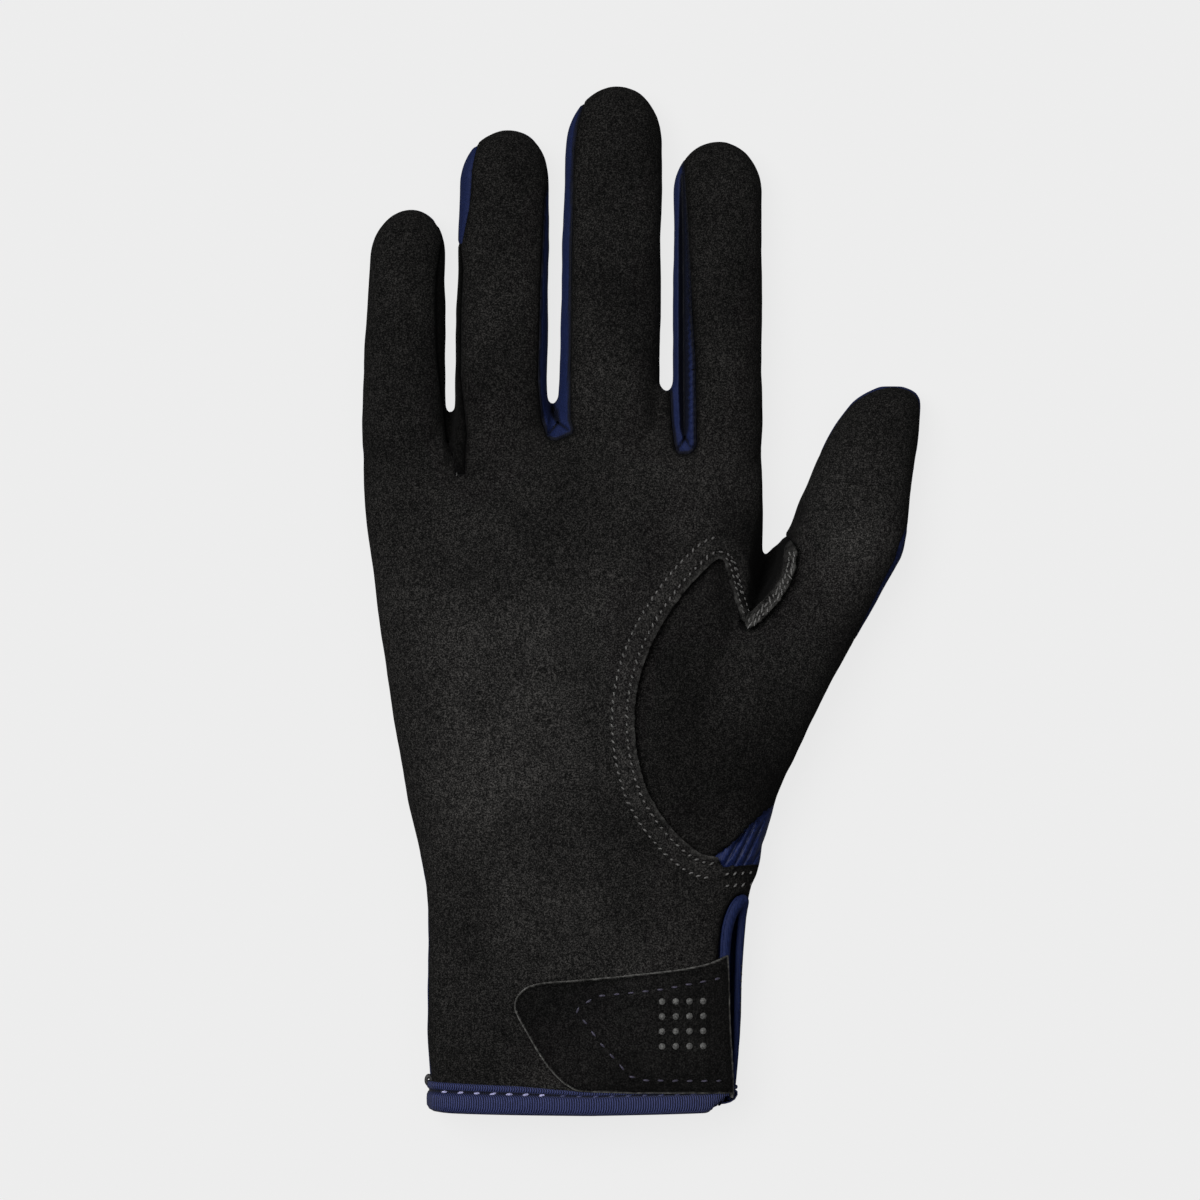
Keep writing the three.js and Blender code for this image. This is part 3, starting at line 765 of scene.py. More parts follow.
@dataclass
class Wardrobe:
    """Every finish of the glove, made once."""

    palm: bpy.types.Material = made_once(SuedeFinish("palm_suede"))
    tab: bpy.types.Material = made_once(
        SuedeFinish(
            "tab_suede",
            middle=(0.0105, 0.0103, 0.0102),
            light=(0.038, 0.037, 0.036),
            edge=(0.16, 0.158, 0.15),
        )
    )
    back: bpy.types.Material = made_once(KnitFinish("back_knit"))
    fork: bpy.types.Material = made_once(KnitFinish("fork_knit", pitch=0.36 * MM))
    gathered: bpy.types.Material = made_once(
        KnitFinish("gathered_knit", light=(0.014, 0.024, 0.1), roughness=0.42, sheen=0.08, relief=0.25)
    )
    elastic: bpy.types.Material = made_once(ElasticFinish("elastic_binding"))
    hooks: bpy.types.Material = made_once(HookFinish("hook_tape"))
    grey_thread: bpy.types.Material = made_once(
        ThreadFinish("grey_thread", (0.02, 0.02, 0.02), (0.15, 0.146, 0.14))
    )
    black_thread: bpy.types.Material = made_once(
        ThreadFinish("black_thread", (0.003, 0.003, 0.003), (0.016, 0.016, 0.016))
    )
    plum_thread: bpy.types.Material = made_once(
        ThreadFinish("plum_thread", (0.013, 0.012, 0.022), (0.068, 0.06, 0.1))
    )
    lilac_thread: bpy.types.Material = made_once(
        ThreadFinish("lilac_thread", (0.1, 0.1, 0.22), (0.5, 0.5, 0.78))
    )
    navy_thread: bpy.types.Material = made_once(
        ThreadFinish("navy_thread", (0.006, 0.008, 0.03), (0.03, 0.036, 0.12))
    )
    ink: bpy.types.Material = made_once(PrintFinish("print"))


def finished(
    made: bpy.types.Object, name: str, slot: str, finish: bpy.types.Material, *nodes: str
) -> bpy.types.Object:
    """Name a piece, give it its finish, and tie it to the glove.

    Args:
        made: the piece.
        name: its name.
        slot: the record's material slot; not used.
        finish: its material.
        nodes: the CAD nodes that it stands for.

    Returns:
        The piece.
    """
    made.name = name
    made.data.name = name
    made.data.materials.clear()
    made.data.materials.append(finish)
    made.data.polygons.foreach_set("use_smooth", [True] * len(made.data.polygons))
    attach(made, "root")
    if nodes:
        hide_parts(*nodes)
    LOG.info("%s: %d faces", name, len(made.data.polygons))
    return made


def sewn(bm: bmesh.types.BMesh, name: str, thread: bpy.types.Material) -> None:
    """Finish a bmesh of stitches as a piece of its own."""
    finished(as_object(name, bm), name, "thread", thread)


# The form


@dataclass(frozen=True)
class Finger:
    """A finger's length, and its width, its axis and its tip's lean as shares of the palm's width."""

    length: float
    width: float
    heel: float
    root: float
    tip: float
    taper: float
    lean: float

    @property
    def round_length(self) -> float:
        """Length of the rounded tip."""
        return 0.57 * self.width * PALM_WIDTH

    @property
    def end(self) -> float:
        """Place of the tip along the glove, from the hem."""
        return PALM_LENGTH + self.length

    @property
    def fork_end(self) -> float:
        """Place where a fork ends on this finger."""
        return self.end - 0.3 * self.round_length

    def at(self, y: float) -> tuple[float, float, float]:
        """Return the axis's place across, half of the width, and the depth, at a place from the hem.

        Args:
            y: the place from the hem.

        Returns:
            The axis's place across, half of the width, and the depth.
        """
        out = (y - PALM_LENGTH) / self.length
        inward = (PALM_LENGTH - y) / FINGER_BURIED
        across = mix(self.root, self.tip, out) if out > 0 else mix(self.root, self.heel, inward)
        across += self.lean * clamped(1 + (y - self.end) / (1.2 * self.round_length)) ** 2
        half = 0.5 * self.width * PALM_WIDTH * mix(1, self.taper, clamped(out))
        depth = FINGER_DEPTH * (mix(1, 0.8, out) if out > 0 else mix(1, 0.85, inward))
        return WRIST.x + across * PALM_WIDTH, half, depth


FINGERS = {
    "little": Finger(52.5 * MM, 0.21, -0.405, -0.449, -0.438, 0.88, 0.007),
    "ring": Finger(70.8 * MM, 0.232, -0.2, -0.208, -0.195, 0.96, 0.009),
    "middle": Finger(80.8 * MM, 0.256, 0.05, 0.063, 0.078, 0.93, 0.008),
    "index": Finger(68 * MM, 0.225, 0.31, 0.333, 0.337, 0.98, 0.0),
}


@dataclass(frozen=True)
class Fork:
    """The strip between two fingers.

    Rows: share of its run, and how far the palm's edge lies inside the left and the right finger, as shares
    of their widths.
    """

    name: str
    left: str
    right: str
    crotch: float
    web: float
    web_top: float
    rows: tuple[tuple[float, float, float], ...]

    @property
    def fingers(self) -> tuple[Finger, Finger]:
        """The two fingers."""
        return FINGERS[self.left], FINGERS[self.right]

    def middle(self, y: float) -> float:
        """Return the middle of the gap between the fingers, at a place from the hem."""
        (left, left_half, _), (right, right_half, _) = (finger.at(y) for finger in self.fingers)
        return 0.5 * (left + left_half + right - right_half)

    def edge(self, share: float, side: int) -> Vector:
        """Return a point of the palm's edge beside the fork, on the left finger (0) or the right one (1).

        Args:
            share: the share of the fork's run.
            side: 0 for the left finger, 1 for the right.

        Returns:
            The point in plan.
        """
        finger = self.fingers[side]
        foot = self.crotch * PALM_LENGTH
        y = mix(foot, finger.fork_end, share)
        across, half, _ = finger.at(y)
        reach = float(read_column(self.rows, share, 1 + side)) * finger.width * PALM_WIDTH
        return Vector((across + half - reach if side == 0 else across - half + reach, WRIST.y + y))

    def slit(self) -> list[Vector]:
        """Return the outline of the opening between the fingers in the palm's pattern."""
        shares = sorted({row[0] for row in self.rows} | {step / 24 for step in range(25)})
        left = [self.edge(share, 0) for share in shares]
        right = [self.edge(share, 1) for share in shares]
        ends = [
            Vector((self.middle(finger.fork_end), WRIST.y + finger.fork_end)) for finger in self.fingers
        ]
        return [*left, *ends, *reversed(right)]

    def zone(self) -> list[Vector]:
        """Return the outline from the middle of one finger to the middle of the next."""
        left, right = self.fingers
        foot = self.crotch * PALM_LENGTH

        def corner(finger: Finger, y: float) -> Vector:
            """Return the point of a finger's axis at a place from the hem."""
            return Vector((finger.at(y)[0], WRIST.y + y))

        return [
            corner(left, foot),
            corner(right, foot),
            corner(right, right.fork_end),
            Vector((self.middle(right.fork_end), WRIST.y + right.fork_end)),
            Vector((self.middle(left.fork_end), WRIST.y + left.fork_end)),
            corner(left, left.fork_end),
        ]


LITTLE_RING = Fork(
    "little_ring", "little", "ring", 0.948, 1.037, 8.4 * MM,
    ((0, -0.1, 0.12), (0.12, -0.04, 0.14), (0.3, 0.03, 0.05), (0.5, 0.085, 0.04), (0.62, 0.09, 0.05),
     (0.69, 0.09, 0.02), (0.73, 0.09, 0.05), (0.8, 0.08, 0.1), (0.87, 0.05, 0.12), (0.92, 0.03, 0.12),
     (0.95, -0.04, 0.13), (1, -0.05, 0.15)),
)
RING_MIDDLE = Fork(
    "ring_middle", "ring", "middle", 0.999, 1.054, 8.4 * MM,
    ((0, -0.05, 0.0), (0.018, -0.005, 0.14), (0.03, 0.01, 0.15), (0.06, 0.035, 0.115),
     (0.2, 0.085, 0.1), (0.5, 0.07, 0.085), (0.8, 0.035, 0.075),
     (0.84, 0.025, 0.08), (0.87, -0.04, 0.085), (0.93, -0.05, 0.1), (1, -0.06, 0.14)),
)
MIDDLE_INDEX = Fork(
    "middle_index", "middle", "index", 0.9785, 1.074, 11.0 * MM,
    ((0, -0.185, 0.2), (0.008, -0.165, 0.24), (0.03, -0.14, 0.27), (0.085, -0.112, 0.262),
     (0.2, -0.09, 0.255), (0.28, -0.07, 0.25), (0.34, -0.03, 0.24),
     (0.5, -0.04, 0.2), (0.8, -0.04, 0.14), (1, -0.04, 0.09)),
)
FORKS = (LITTLE_RING, RING_MIDDLE, MIDDLE_INDEX)
REIN_PATCH_END = 0.7

THUMB_HOLE = [
    (0.534, 0.832), (0.524, 0.8), (0.505, 0.775), (0.455, 0.738), (0.406, 0.72), (0.376, 0.765),
    (0.346, 0.821), (0.3, 0.806), (0.235, 0.762), (0.17, 0.699), (0.133, 0.63), (0.128, 0.56),
    (0.155, 0.487), (0.211, 0.432), (0.28, 0.393), (0.331, 0.384),
]
GUSSET_TOP = [(0.331, 0.384), (0.378, 0.408), (0.429, 0.438), (0.476, 0.46)]
GUSSET_FOOT = [(0.54, 0.382), (0.446, 0.371), (0.346, 0.368)]
VENT_EDGE = [
    (0.411, 0.32), (0.403, 0.3262), (0.393, 0.3268), (0.379, 0.323), (0.3615, 0.311), (0.3465, 0.2887),
    (0.339, 0.2634), (0.336, 0.2336), (0.336, 0.2), (0.336, 0.16),
]
TAB_OUTLINE = [
    (0.355, 0.2385), (0.27, 0.222), (0.04, 0.206), (-0.1, 0.199), (-0.15, 0.188), (-0.169, 0.162),
    (-0.135, 0.12), (-0.09, 0.078), (-0.035, 0.046), (0.03, 0.038), (0.33, 0.0345),
]
TAB_CORNER = [
    (0.354, 0.034), (0.3605, 0.031), (0.3625, 0.026), (0.3635, 0.03), (0.363, 0.06), (0.361, 0.1),
    (0.357, 0.17),
]
HEEL_CORNER = [(0.26, -0.1), (0.26, 0.008), (0.3, 0.022), (0.6, 0.022), (0.6, -0.1)]
HOOK_PAD = [
    (0.31, 0.2), (0.19, 0.19), (0.02, 0.178), (-0.016, 0.16), (0.04, 0.113), (0.115, 0.068), (0.15, 0.06),
    (0.31, 0.06),
]


# Height of the seam between palm and back, as shares of the palm's length and depth
SIDE_SEAM = ((-0.5, 0.4), (0.35, 0.4), (0.8, 0.36), (1.0, 0.3), (1.15, 0.265), (2, 0.25))


@dataclass(frozen=True)
class SeamDip:
    """A stretch of the side where the seam runs lower. Its places are shares, its heights metres."""

    left: float
    right: float
    line: tuple[tuple[float, float], ...]

    def solid(self) -> bpy.types.Object:
        """Make the solid above the dip."""
        line = [(WRIST.y + along * PALM_LENGTH, height) for along, height in self.line]
        return slab_over(line, plan(self.left, 0).x, plan(self.right, 0).x)

    def lowered(self, places: np.ndarray, heights: np.ndarray) -> np.ndarray:
        """Return the seam's heights at the given places with the dip taken into account."""
        along = (places[:, 1] - WRIST.y) / PALM_LENGTH
        dip = read_column(self.line, along, 1)
        within = (places[:, 0] > plan(self.left, 0).x) & (places[:, 0] < plan(self.right, 0).x)
        within &= (along > self.line[0][0]) & (along < self.line[-1][0])
        return np.where(within, np.minimum(dip, heights), heights)


SEAM_DIPS = (
    SeamDip(0.4, 0.63, ((0.64, 9 * MM), (0.72, 3 * MM), (0.93, 3 * MM), (1.0, 7 * MM))),
    SeamDip(0.4, 0.7, ((0.335, 9.5 * MM), (0.365, 5 * MM), (0.48, 5 * MM), (0.54, 9.5 * MM))),
)


def seam_height(places: np.ndarray) -> np.ndarray:
    """Return the height of the seam between palm and back near the given places."""
    along = (places[:, 1] - WRIST.y) / PALM_LENGTH
    heights = PALM_DEPTH * read_column(SIDE_SEAM, along, 1)
    for dip in SEAM_DIPS:
        heights = dip.lowered(places, heights)
    return heights


@dataclass
class GloveForm:
    """The smooth closed form that every panel is cut from.

    Rows of the palm: place along, left and right edge, top, and whether the hem's binding lifts it. Rows of
    the thumb: place along, left and right edge, and top. All of them are shares.
    """

    voxel: float = 0.75 * MM
    palm_rows: Rows = (
        (0, -0.378, 0.372, 0.8, 1), (0.048, -0.381, 0.376, 0.8, 1), (0.1, -0.388, 0.388, 0.83, 0),
        (0.18, -0.388, 0.393, 0.82, 0), (0.256, -0.386, 0.401, 0.83, 0), (0.33, -0.391, 0.415, 0.87, 0),
        (0.366, -0.402, 0.438, 0.9, 0), (0.405, -0.414, 0.444, 0.93, 0), (0.479, -0.439, 0.442, 0.98, 0),
        (0.554, -0.463, 0.441, 1, 0), (0.643, -0.487, 0.446, 1, 0), (0.762, -0.515, 0.446, 0.98, 0),
        (0.881, -0.541, 0.446, 0.9, 0), (0.955, -0.551, 0.446, 0.78, 0), (1, -0.549, 0.441, 0.61, 0),
        (1.04, -0.544, 0.436, 0.4, 0),
    )
    thumb_rows: Rows = (
        (0, 0.215, 0.42, 0.6), (0.055, 0.178, 0.452, 0.82), (0.139, 0.165, 0.481, 0.95),
        (0.239, 0.178, 0.536, 1.02), (0.34, 0.211, 0.594, 1.04), (0.441, 0.266, 0.659, 1),
        (0.517, 0.328, 0.712, 0.95), (0.58, 0.391, 0.752, 0.91), (0.643, 0.456, 0.794, 0.87),
        (0.693, 0.509, 0.807, 0.84), (0.744, 0.531, 0.812, 0.81), (0.819, 0.569, 0.822, 0.76),
        (0.895, 0.612, 0.837, 0.7), (0.945, 0.652, 0.84, 0.62), (0.971, 0.679, 0.84, 0.54),
        (0.989, 0.712, 0.827, 0.44), (1, 0.742, 0.797, 0.34),
    )
    thumb_foot: float = 0.372
    flattening: float = 0.15
    solid: bpy.types.Object = field(init=False)
    surface: BVHTree = field(init=False)

    def oval(
        self, y: float, x: float, half_width: float, top: float, floor: float = 0.0, roundness: float = 2.3
    ) -> Oval:
        """Return the oval of a limb whose top is at a height and whose underside is pressed flat."""
        sunk = self.flattening * top
        return Oval(y, x, half_width, 0.5 * (top - sunk), 0.5 * (top + sunk), floor, roundness)

    def palm_oval(self, y: float) -> Oval:
        """Return the palm's oval at a place from the hem."""
        share = y / PALM_LENGTH
        left, right, top, lift = (
            cubic([(row[0], row[column]) for row in self.palm_rows], share) for column in (1, 2, 3, 4)
        )
        return self.oval(
            WRIST.y + y,
            WRIST.x + 0.5 * (left + right) * PALM_WIDTH,
            0.5 * (right - left) * PALM_WIDTH,
            top * PALM_DEPTH,
            lift * HEM_LIFT,
            2.6,
        )

    def palm_limb(self, bm: bmesh.types.BMesh) -> None:
        """Add the palm, which runs on a little past the hem so that its edge can be cut clean."""
        end = self.palm_rows[-1][0] * PALM_LENGTH
        places = [mix(-8 * MM, end, step / 64) for step in range(65)]
        bridged(bm, [self.palm_oval(y).ring(bm, 96) for y in places], capped=True)

    def thumb_limb(self, bm: bmesh.types.BMesh) -> None:
        """Add the thumb."""
        rings = []
        for step in range(57):
            share = math.sin(0.5 * math.pi * step / 56) ** 1.2
            left, right, top = (
                cubic([(row[0], row[column]) for row in self.thumb_rows], share) for column in (1, 2, 3)
            )
            rings.append(
                self.oval(
                    WRIST.y + self.thumb_foot * PALM_LENGTH + share * THUMB_LENGTH,
                    WRIST.x + 0.5 * (left + right) * PALM_WIDTH,
                    0.5 * (right - left) * PALM_WIDTH,
                    top * THUMB_DEPTH,
                ).ring(bm, 72)
            )
        bridged(bm, rings, capped=True)

    def finger_limb(self, bm: bmesh.types.BMesh, finger: Finger) -> None:
        """Add a finger with its round tip."""
        shoulder = finger.end - finger.round_length
        ovals = []
        for step in range(25):
            y = mix(PALM_LENGTH - FINGER_BURIED, shoulder, step / 24)
            x, half, depth = finger.at(y)
            buried = 6 * MM * (1 - min(step / 7, 1)) ** 1.5
            ovals.append(self.oval(WRIST.y + y, x, half, depth).grown(-buried))
        last = ovals[-1]
        for step in range(1, 13):
            angle = 0.5 * math.pi * step / 12.6
            y = shoulder + finger.round_length * math.sin(angle)
            x, _, depth = finger.at(y)
            middle = self.oval(WRIST.y + y, x, 1.0, depth)
            ovals.append(
                Oval(
                    middle.y, x, last.half_width * math.cos(angle), middle.z,
                    last.half_depth * math.cos(angle) ** 0.8,
                )
            )
        bridged(bm, [oval.ring(bm, 64) for oval in ovals], capped=True)

    def web_limb(self, bm: bmesh.types.BMesh, fork: Fork) -> None:
        """Add the low web that joins two fingers up to where they part."""
        lobes = ((0.0, -0.5, 4.0), (-1.7, 0.3, 0.9), (1.7, 0.3, 0.9), (-2.4, 1.2, 0.9), (2.4, 1.2, 0.9))
        for aside, reach, half in ((a * MM, b * MM, c * MM) for a, b, c in lobes):
            end = fork.web * PALM_LENGTH + reach
            places = [mix(PALM_LENGTH - 19 * MM, end, step / 6) for step in range(7)]
            rings = [
                self.oval(WRIST.y + y, fork.middle(y) + aside, half, fork.web_top).ring(bm, 32)
                for y in places
            ]
            bridged(bm, rings, capped=True)

    def build(self) -> None:
        """Join the limbs into one smooth closed skin and press the folds into it."""
        bm = bmesh.new()
        self.palm_limb(bm)
        self.thumb_limb(bm)
        for finger in FINGERS.values():
            self.finger_limb(bm, finger)
        for fork in FORKS:
            self.web_limb(bm, fork)
        limbs = as_object("limbs", bm)
        remesh = limbs.modifiers.new("skin", "REMESH")
        remesh.mode = "VOXEL"
        remesh.voxel_size = self.voxel
        soft = limbs.modifiers.new("soft", "SMOOTH")
        soft.factor = 0.5
        soft.iterations = 6
        self.solid = settled(limbs, "form")
        places = coordinates(self.solid.data)
        facing = normals(self.solid.data)
        set_coordinates(self.solid.data, self.pressed(places, facing))
        bm = opened(self.solid.data)
        bmesh.ops.triangulate(bm, faces=bm.faces, quad_method="SHORT_EDGE")
        bm.to_mesh(self.solid.data)
        bm.free()
        self.surface = BVHTree.FromObject(self.solid, bpy.context.evaluated_depsgraph_get())
        LOG.info("form: %d faces", len(self.solid.data.polygons))

    def pressed(self, places: np.ndarray, facing: np.ndarray) -> np.ndarray:
        """Return the form's vertices with its folds, valleys and soft unevenness.

        Args:
            places: the form's vertices.
            facing: their normals.

        Returns:
            The vertices' new places.
        """
        result = places.copy()
        for fold in FOLDS:
            if fold.crest:
                result[:, 2] -= fold.depth_at(places, facing)
        sunk = result[:, 2].copy()
        for fold in FOLDS:
            if not fold.crest:
                result[:, 2] -= fold.depth_at(places, facing)
        result[:, 2] = np.maximum(result[:, 2], np.minimum(sunk, seam_height(places) + 0.7 * MM))
        apart = Vector((7, 3, 1))
        uneven = np.array(
            [
                0.32 * noise.noise(Vector(point) * 75) + 0.11 * noise.noise(Vector(point) * 240 + apart)
                for point in places
            ]
        )
        lifted = smoothstep((places[:, 2] - 1.5 * MM) / (3 * MM))
        result += facing * (uneven * lifted * MM)[:, None]
        result[:, 2] = np.maximum(result[:, 2], 0.0)
        return result


@dataclass(frozen=True)
class Fold:
    """A valley pressed into the upper side along a line.

    Rows: share of the line, half of the valley's width and its depth, in metres. Where the fold has a crest
    height, the sides under that height sink with it; without one only the top does.
    """

    line: tuple[Vector, ...]
    rows: tuple[tuple[float, float, float], ...]
    crest: float = 0.0
    level: float = 2.5 * MM

    def depth_at(self, places: np.ndarray, facing: np.ndarray) -> np.ndarray:
        """Return how deep the fold presses each point.

        Args:
            places: the points.
            facing: the surface's normals there.

        Returns:
            Each point's depth.
        """
        gap, share = along_line(places, list(self.line))
        width, depth = (read_column(self.rows, share, column) for column in (1, 2))
        if self.crest:
            reach = np.clip((places[:, 2] - self.level) / (self.crest - self.level), 0, 1)
        else:
            reach = smoothstep(facing[:, 2] * 2.5)
        return depth * (1 - smoothstep(gap / width)) * reach


def fork_valley(fork: Fork, wide: float, deep: float) -> Fold:
    """Return the valley in the web below a finger gap."""
    places = [fork.crotch * PALM_LENGTH + 1.5 * MM, fork.web * PALM_LENGTH + 4 * MM]
    line = [Vector((fork.middle(y), WRIST.y + y)) for y in np.linspace(*places, 6)]
    rows = ((0, 0.5 * wide, 0.3 * deep), (0.5, 0.8 * wide, 0.8 * deep), (1, wide, deep))
    return Fold(tuple(line), rows, crest=8.0 * MM)


def straight(start: tuple[float, float], end: tuple[float, float], wide: float, deep: float) -> Fold:
    """Return a straight fold that fades out at both ends. Its points are shares, its sizes millimetres."""
    line = (plan(*start), plan(*start).lerp(plan(*end), 0.5), plan(*end))
    return Fold(
        line, ((0, 0.4 * wide * MM, 0), (0.25, wide * MM, deep * MM), (0.75, wide * MM, deep * MM),
               (1, 0.4 * wide * MM, 0))
    )


# The deep web beside the thumb
THUMB_WEB = Fold(
    (plan(0.5, 0.9), plan(0.468, 0.84), plan(0.44, 0.785), plan(0.404, 0.728)),
    ((0, 6 * MM, 8 * MM), (0.35, 5.2 * MM, 9.5 * MM), (0.7, 3.6 * MM, 7 * MM), (1, 1.5 * MM, 2 * MM)),
    crest=15 * MM,
)
# Fine creases of the fork strips: the envelope fold at the foot of one, and the long pleat of the other
RING_MIDDLE_CREASES = [
    Fold((plan(-0.078, 1.054), plan(-0.071, 1.038), plan(-0.0627, 1.024)),
         ((0, 0.9 * MM, 0.2 * MM), (0.45, 1.3 * MM, 2.6 * MM), (1, 0.7 * MM, 1.6 * MM))),
    Fold((plan(-0.0627, 1.0245), plan(-0.0877, 1.006)), ((0, 0.5 * MM, 1.1 * MM), (1, 0.4 * MM, 0.8 * MM))),
    Fold((plan(-0.0627, 1.0245), plan(-0.0376, 1.0134)), ((0, 0.5 * MM, 1.1 * MM), (1, 0.4 * MM, 0.8 * MM))),
]
INDEX_PLEAT = (plan(0.247, 1.39), plan(0.25, 1.283), plan(0.2514, 1.06), plan(0.2514, 1.0))
MIDDLE_INDEX_CREASES = [
    Fold(INDEX_PLEAT, ((0, 1.0 * MM, 1.0 * MM), (0.25, 1.6 * MM, 2.8 * MM), (0.8, 1.7 * MM, 3.4 * MM),
                       (0.96, 1.3 * MM, 2.8 * MM), (1, 0.5 * MM, 0.6 * MM))),
    Fold((plan(0.2531, 1.002), plan(0.2356, 0.985)), ((0, 0.5 * MM, 1.1 * MM), (1, 0.4 * MM, 0.8 * MM))),
    Fold((plan(0.2531, 1.002), plan(0.2682, 0.9866)), ((0, 0.5 * MM, 1.1 * MM), (1, 0.4 * MM, 0.8 * MM))),
]
INDEX_RIDGE = [plan(0.2601, 1.39), plan(0.2656, 1.283), plan(0.269, 1.06), plan(0.27, 0.99)]
GATHERS = [
    straight((0.333, 0.382), (0.372, 0.42), 0.6, 0.7),
    straight((0.345, 0.366), (0.41, 0.433), 0.7, 0.9),
    straight((0.368, 0.362), (0.43, 0.438), 0.6, 0.8),
    straight((0.39, 0.362), (0.455, 0.445), 0.7, 0.9),
    straight((0.415, 0.365), (0.47, 0.43), 0.6, 0.7),
]
THUMB_SIDE = [
    (0.81, 0.872), (0.79, 0.846), (0.778, 0.8214), (0.747, 0.7872), (0.717, 0.7515), (0.685, 0.7143),
    (0.663, 0.6875), (0.72, 0.6875), (0.88, 0.82), (0.88, 0.872),
]
FOLDS = [
    fork_valley(LITTLE_RING, 2.4 * MM, 5 * MM),
    fork_valley(RING_MIDDLE, 2.0 * MM, 4.5 * MM),
    THUMB_WEB,
    straight((-0.285, 0.955), (-0.11, 0.985), 3.5, 0.7),
    straight((-0.31, 0.94), (-0.36, 0.9), 1.6, 0.5),
    straight((-0.3, 0.93), (-0.27, 0.89), 1.5, 0.4),
    straight((0.27, 0.96), (0.3, 0.92), 2.0, 0.4),
    straight((-0.02, 0.98), (0.02, 0.93), 2.0, 0.3),
]


# Panels


def scraps(bm: bmesh.types.BMesh, most: int = 60) -> list[bmesh.types.BMFace]:
    """Return the faces of loose islands that have few faces.

    Args:
        bm: the sheet.
        most: the greatest number of faces of such an island.

    Returns:
        Their faces.
    """
    seen: set[bmesh.types.BMFace] = set()
    small = []
    for first in bm.faces:
        if first in seen:
            continue
        seen.add(first)
        island, front = [first], [first]
        while front:
            near = {other for edge in front.pop().edges for other in edge.link_faces} - seen
            seen |= near
            island += near
            front += near
        if len(island) <= most:
            small += island
    return small


@dataclass
class PatternRoom:
    """Cuts open panels from the form along the pattern's outlines."""

    form: GloveForm
    fork_seam: float = 3.0 * MM
    over_seam: bpy.types.Object = field(init=False)
    over_fork_seam: bpy.types.Object = field(init=False)
    upper: bpy.types.Object = field(init=False)
    lower: bpy.types.Object = field(init=False)

    def __post_init__(self) -> None:
        """Make the sloped cutters of the side seams, and the form's two halves."""
        line = [(WRIST.y + along * PALM_LENGTH, height * PALM_DEPTH) for along, height in SIDE_SEAM]
        self.over_seam = slab_over(line)
        for dip in SEAM_DIPS:
            parts = (self.over_seam, dip.solid())
            self.over_seam = cut(*parts, Side.BOTH)
            for part in parts:
                discard(part)
        self.over_fork_seam = slab_over([(-FAR, self.fork_seam), (FAR, self.fork_seam)])
        self.upper = cut(self.form.solid, self.over_seam, Side.INSIDE)
        self.lower = cut(self.form.solid, self.over_seam, Side.OUTSIDE)

    def close(self) -> None:
        """Drop the cutters and the two halves."""
        for helper in (self.over_seam, self.over_fork_seam, self.upper, self.lower):
            discard(helper)

    def below(self, solid: bpy.types.Object, bare: list[Vector]) -> bpy.types.Object:
        """Return the part of a solid under the seam, and up to the top where an outline is left bare.

        Args:
            solid: the closed solid.
            bare: the outline in plan.

        Returns:
            The new closed solid.
        """
        column = prism(bare)
        cover = cut(self.over_seam, column, Side.OUTSIDE)
        result = cut(solid, cover, Side.OUTSIDE)
        discard(column)
        discard(cover)
        return result

    def panel(
        self, source: bpy.types.Object, steps: list[tuple[list[Vector], Side]]
    ) -> bpy.types.Object:
        """Cut a panel by upright walls on closed outlines.

        Args:
            source: the closed solid to cut, which is kept.
            steps: pairs of an outline in plan and the side of it that stays.

        Returns:
            An open sheet: the part of the form's skin that is left.
        """
        current = source
        for outline, side in steps:
            cutter = prism(outline)
            result = cut(current, cutter, side)
            discard(cutter)
            if current is not source:
                discard(current)
            current = result
        return self.skin(current, keep=current is source)

    def skin(self, solid: bpy.types.Object, keep: bool = False) -> bpy.types.Object:
        """Return the solid's faces that lie on the form's skin, open at the cuts and at the hem.

        Args:
            solid: the cut solid.
            keep: whether the solid is kept.

        Returns:
            The open sheet.
        """
        bm = opened(solid.data)
        inner = []
        for face in bm.faces:
            middle = face.calc_center_median()
            distance = self.form.surface.find_nearest(middle)[3]
            if distance > 0.02 * MM:
                inner.append(face)
        bmesh.ops.delete(bm, geom=inner, context="FACES")
        bmesh.ops.bisect_plane(
            bm,
            geom=[*bm.verts, *bm.edges, *bm.faces],
            plane_co=(0, WRIST.y + HEM_LIFT, 0),
            plane_no=(0, 1, 0),
            clear_inner=True,
        )
        bmesh.ops.remove_doubles(bm, verts=bm.verts, dist=0.1 * MM)
        bmesh.ops.dissolve_degenerate(bm, dist=0.02 * MM, edges=bm.edges)
        bmesh.ops.delete(bm, geom=[vert for vert in bm.verts if not vert.link_faces], context="VERTS")
        bmesh.ops.delete(bm, geom=scraps(bm), context="FACES")
        if not keep:
            discard(solid)
        return as_object("panel", bm)


# Lighter and darker patches of the suede, partly the pile's own tone and partly painted light and painted
# shade, such as the lit middle of the palm and the shaded foot of the thumb: place across and along as
# shares, width in millimetres, gain
PALM_NAP_AND_PAINTED_LIGHT = (
    (-0.16, 0.64, 34, 0.5), (-0.2, 0.8, 26, 0.12), (-0.18, 0.3, 30, 0.34), (0.0, 0.2, 20, 0.1),
    (0.07, 1.1, 12, 0.14), (0.33, 0.93, 13, 0.22), (-0.46, 1.0, 12, 0.12), (0.38, 0.78, 9, -0.2),
    (0.43, 0.87, 7, -0.25), (0.1, 1.3, 14, 0.14), (0.15, 0.4, 12, -0.12),
)
THUMB_NAP_AND_PAINTED_LIGHT = (
    (0.68, 0.88, 17, 0.5), (0.36, 0.62, 8, 0.12), (0.55, 0.7, 11, 0.2), (0.3, 0.55, 18, -0.2),
    (0.44, 0.49, 9, -0.12),
)
TAB_NAP_AND_PAINTED_LIGHT = ((0.0, 0.1, 14, 0.08), (0.3, 0.15, 12, -0.06))


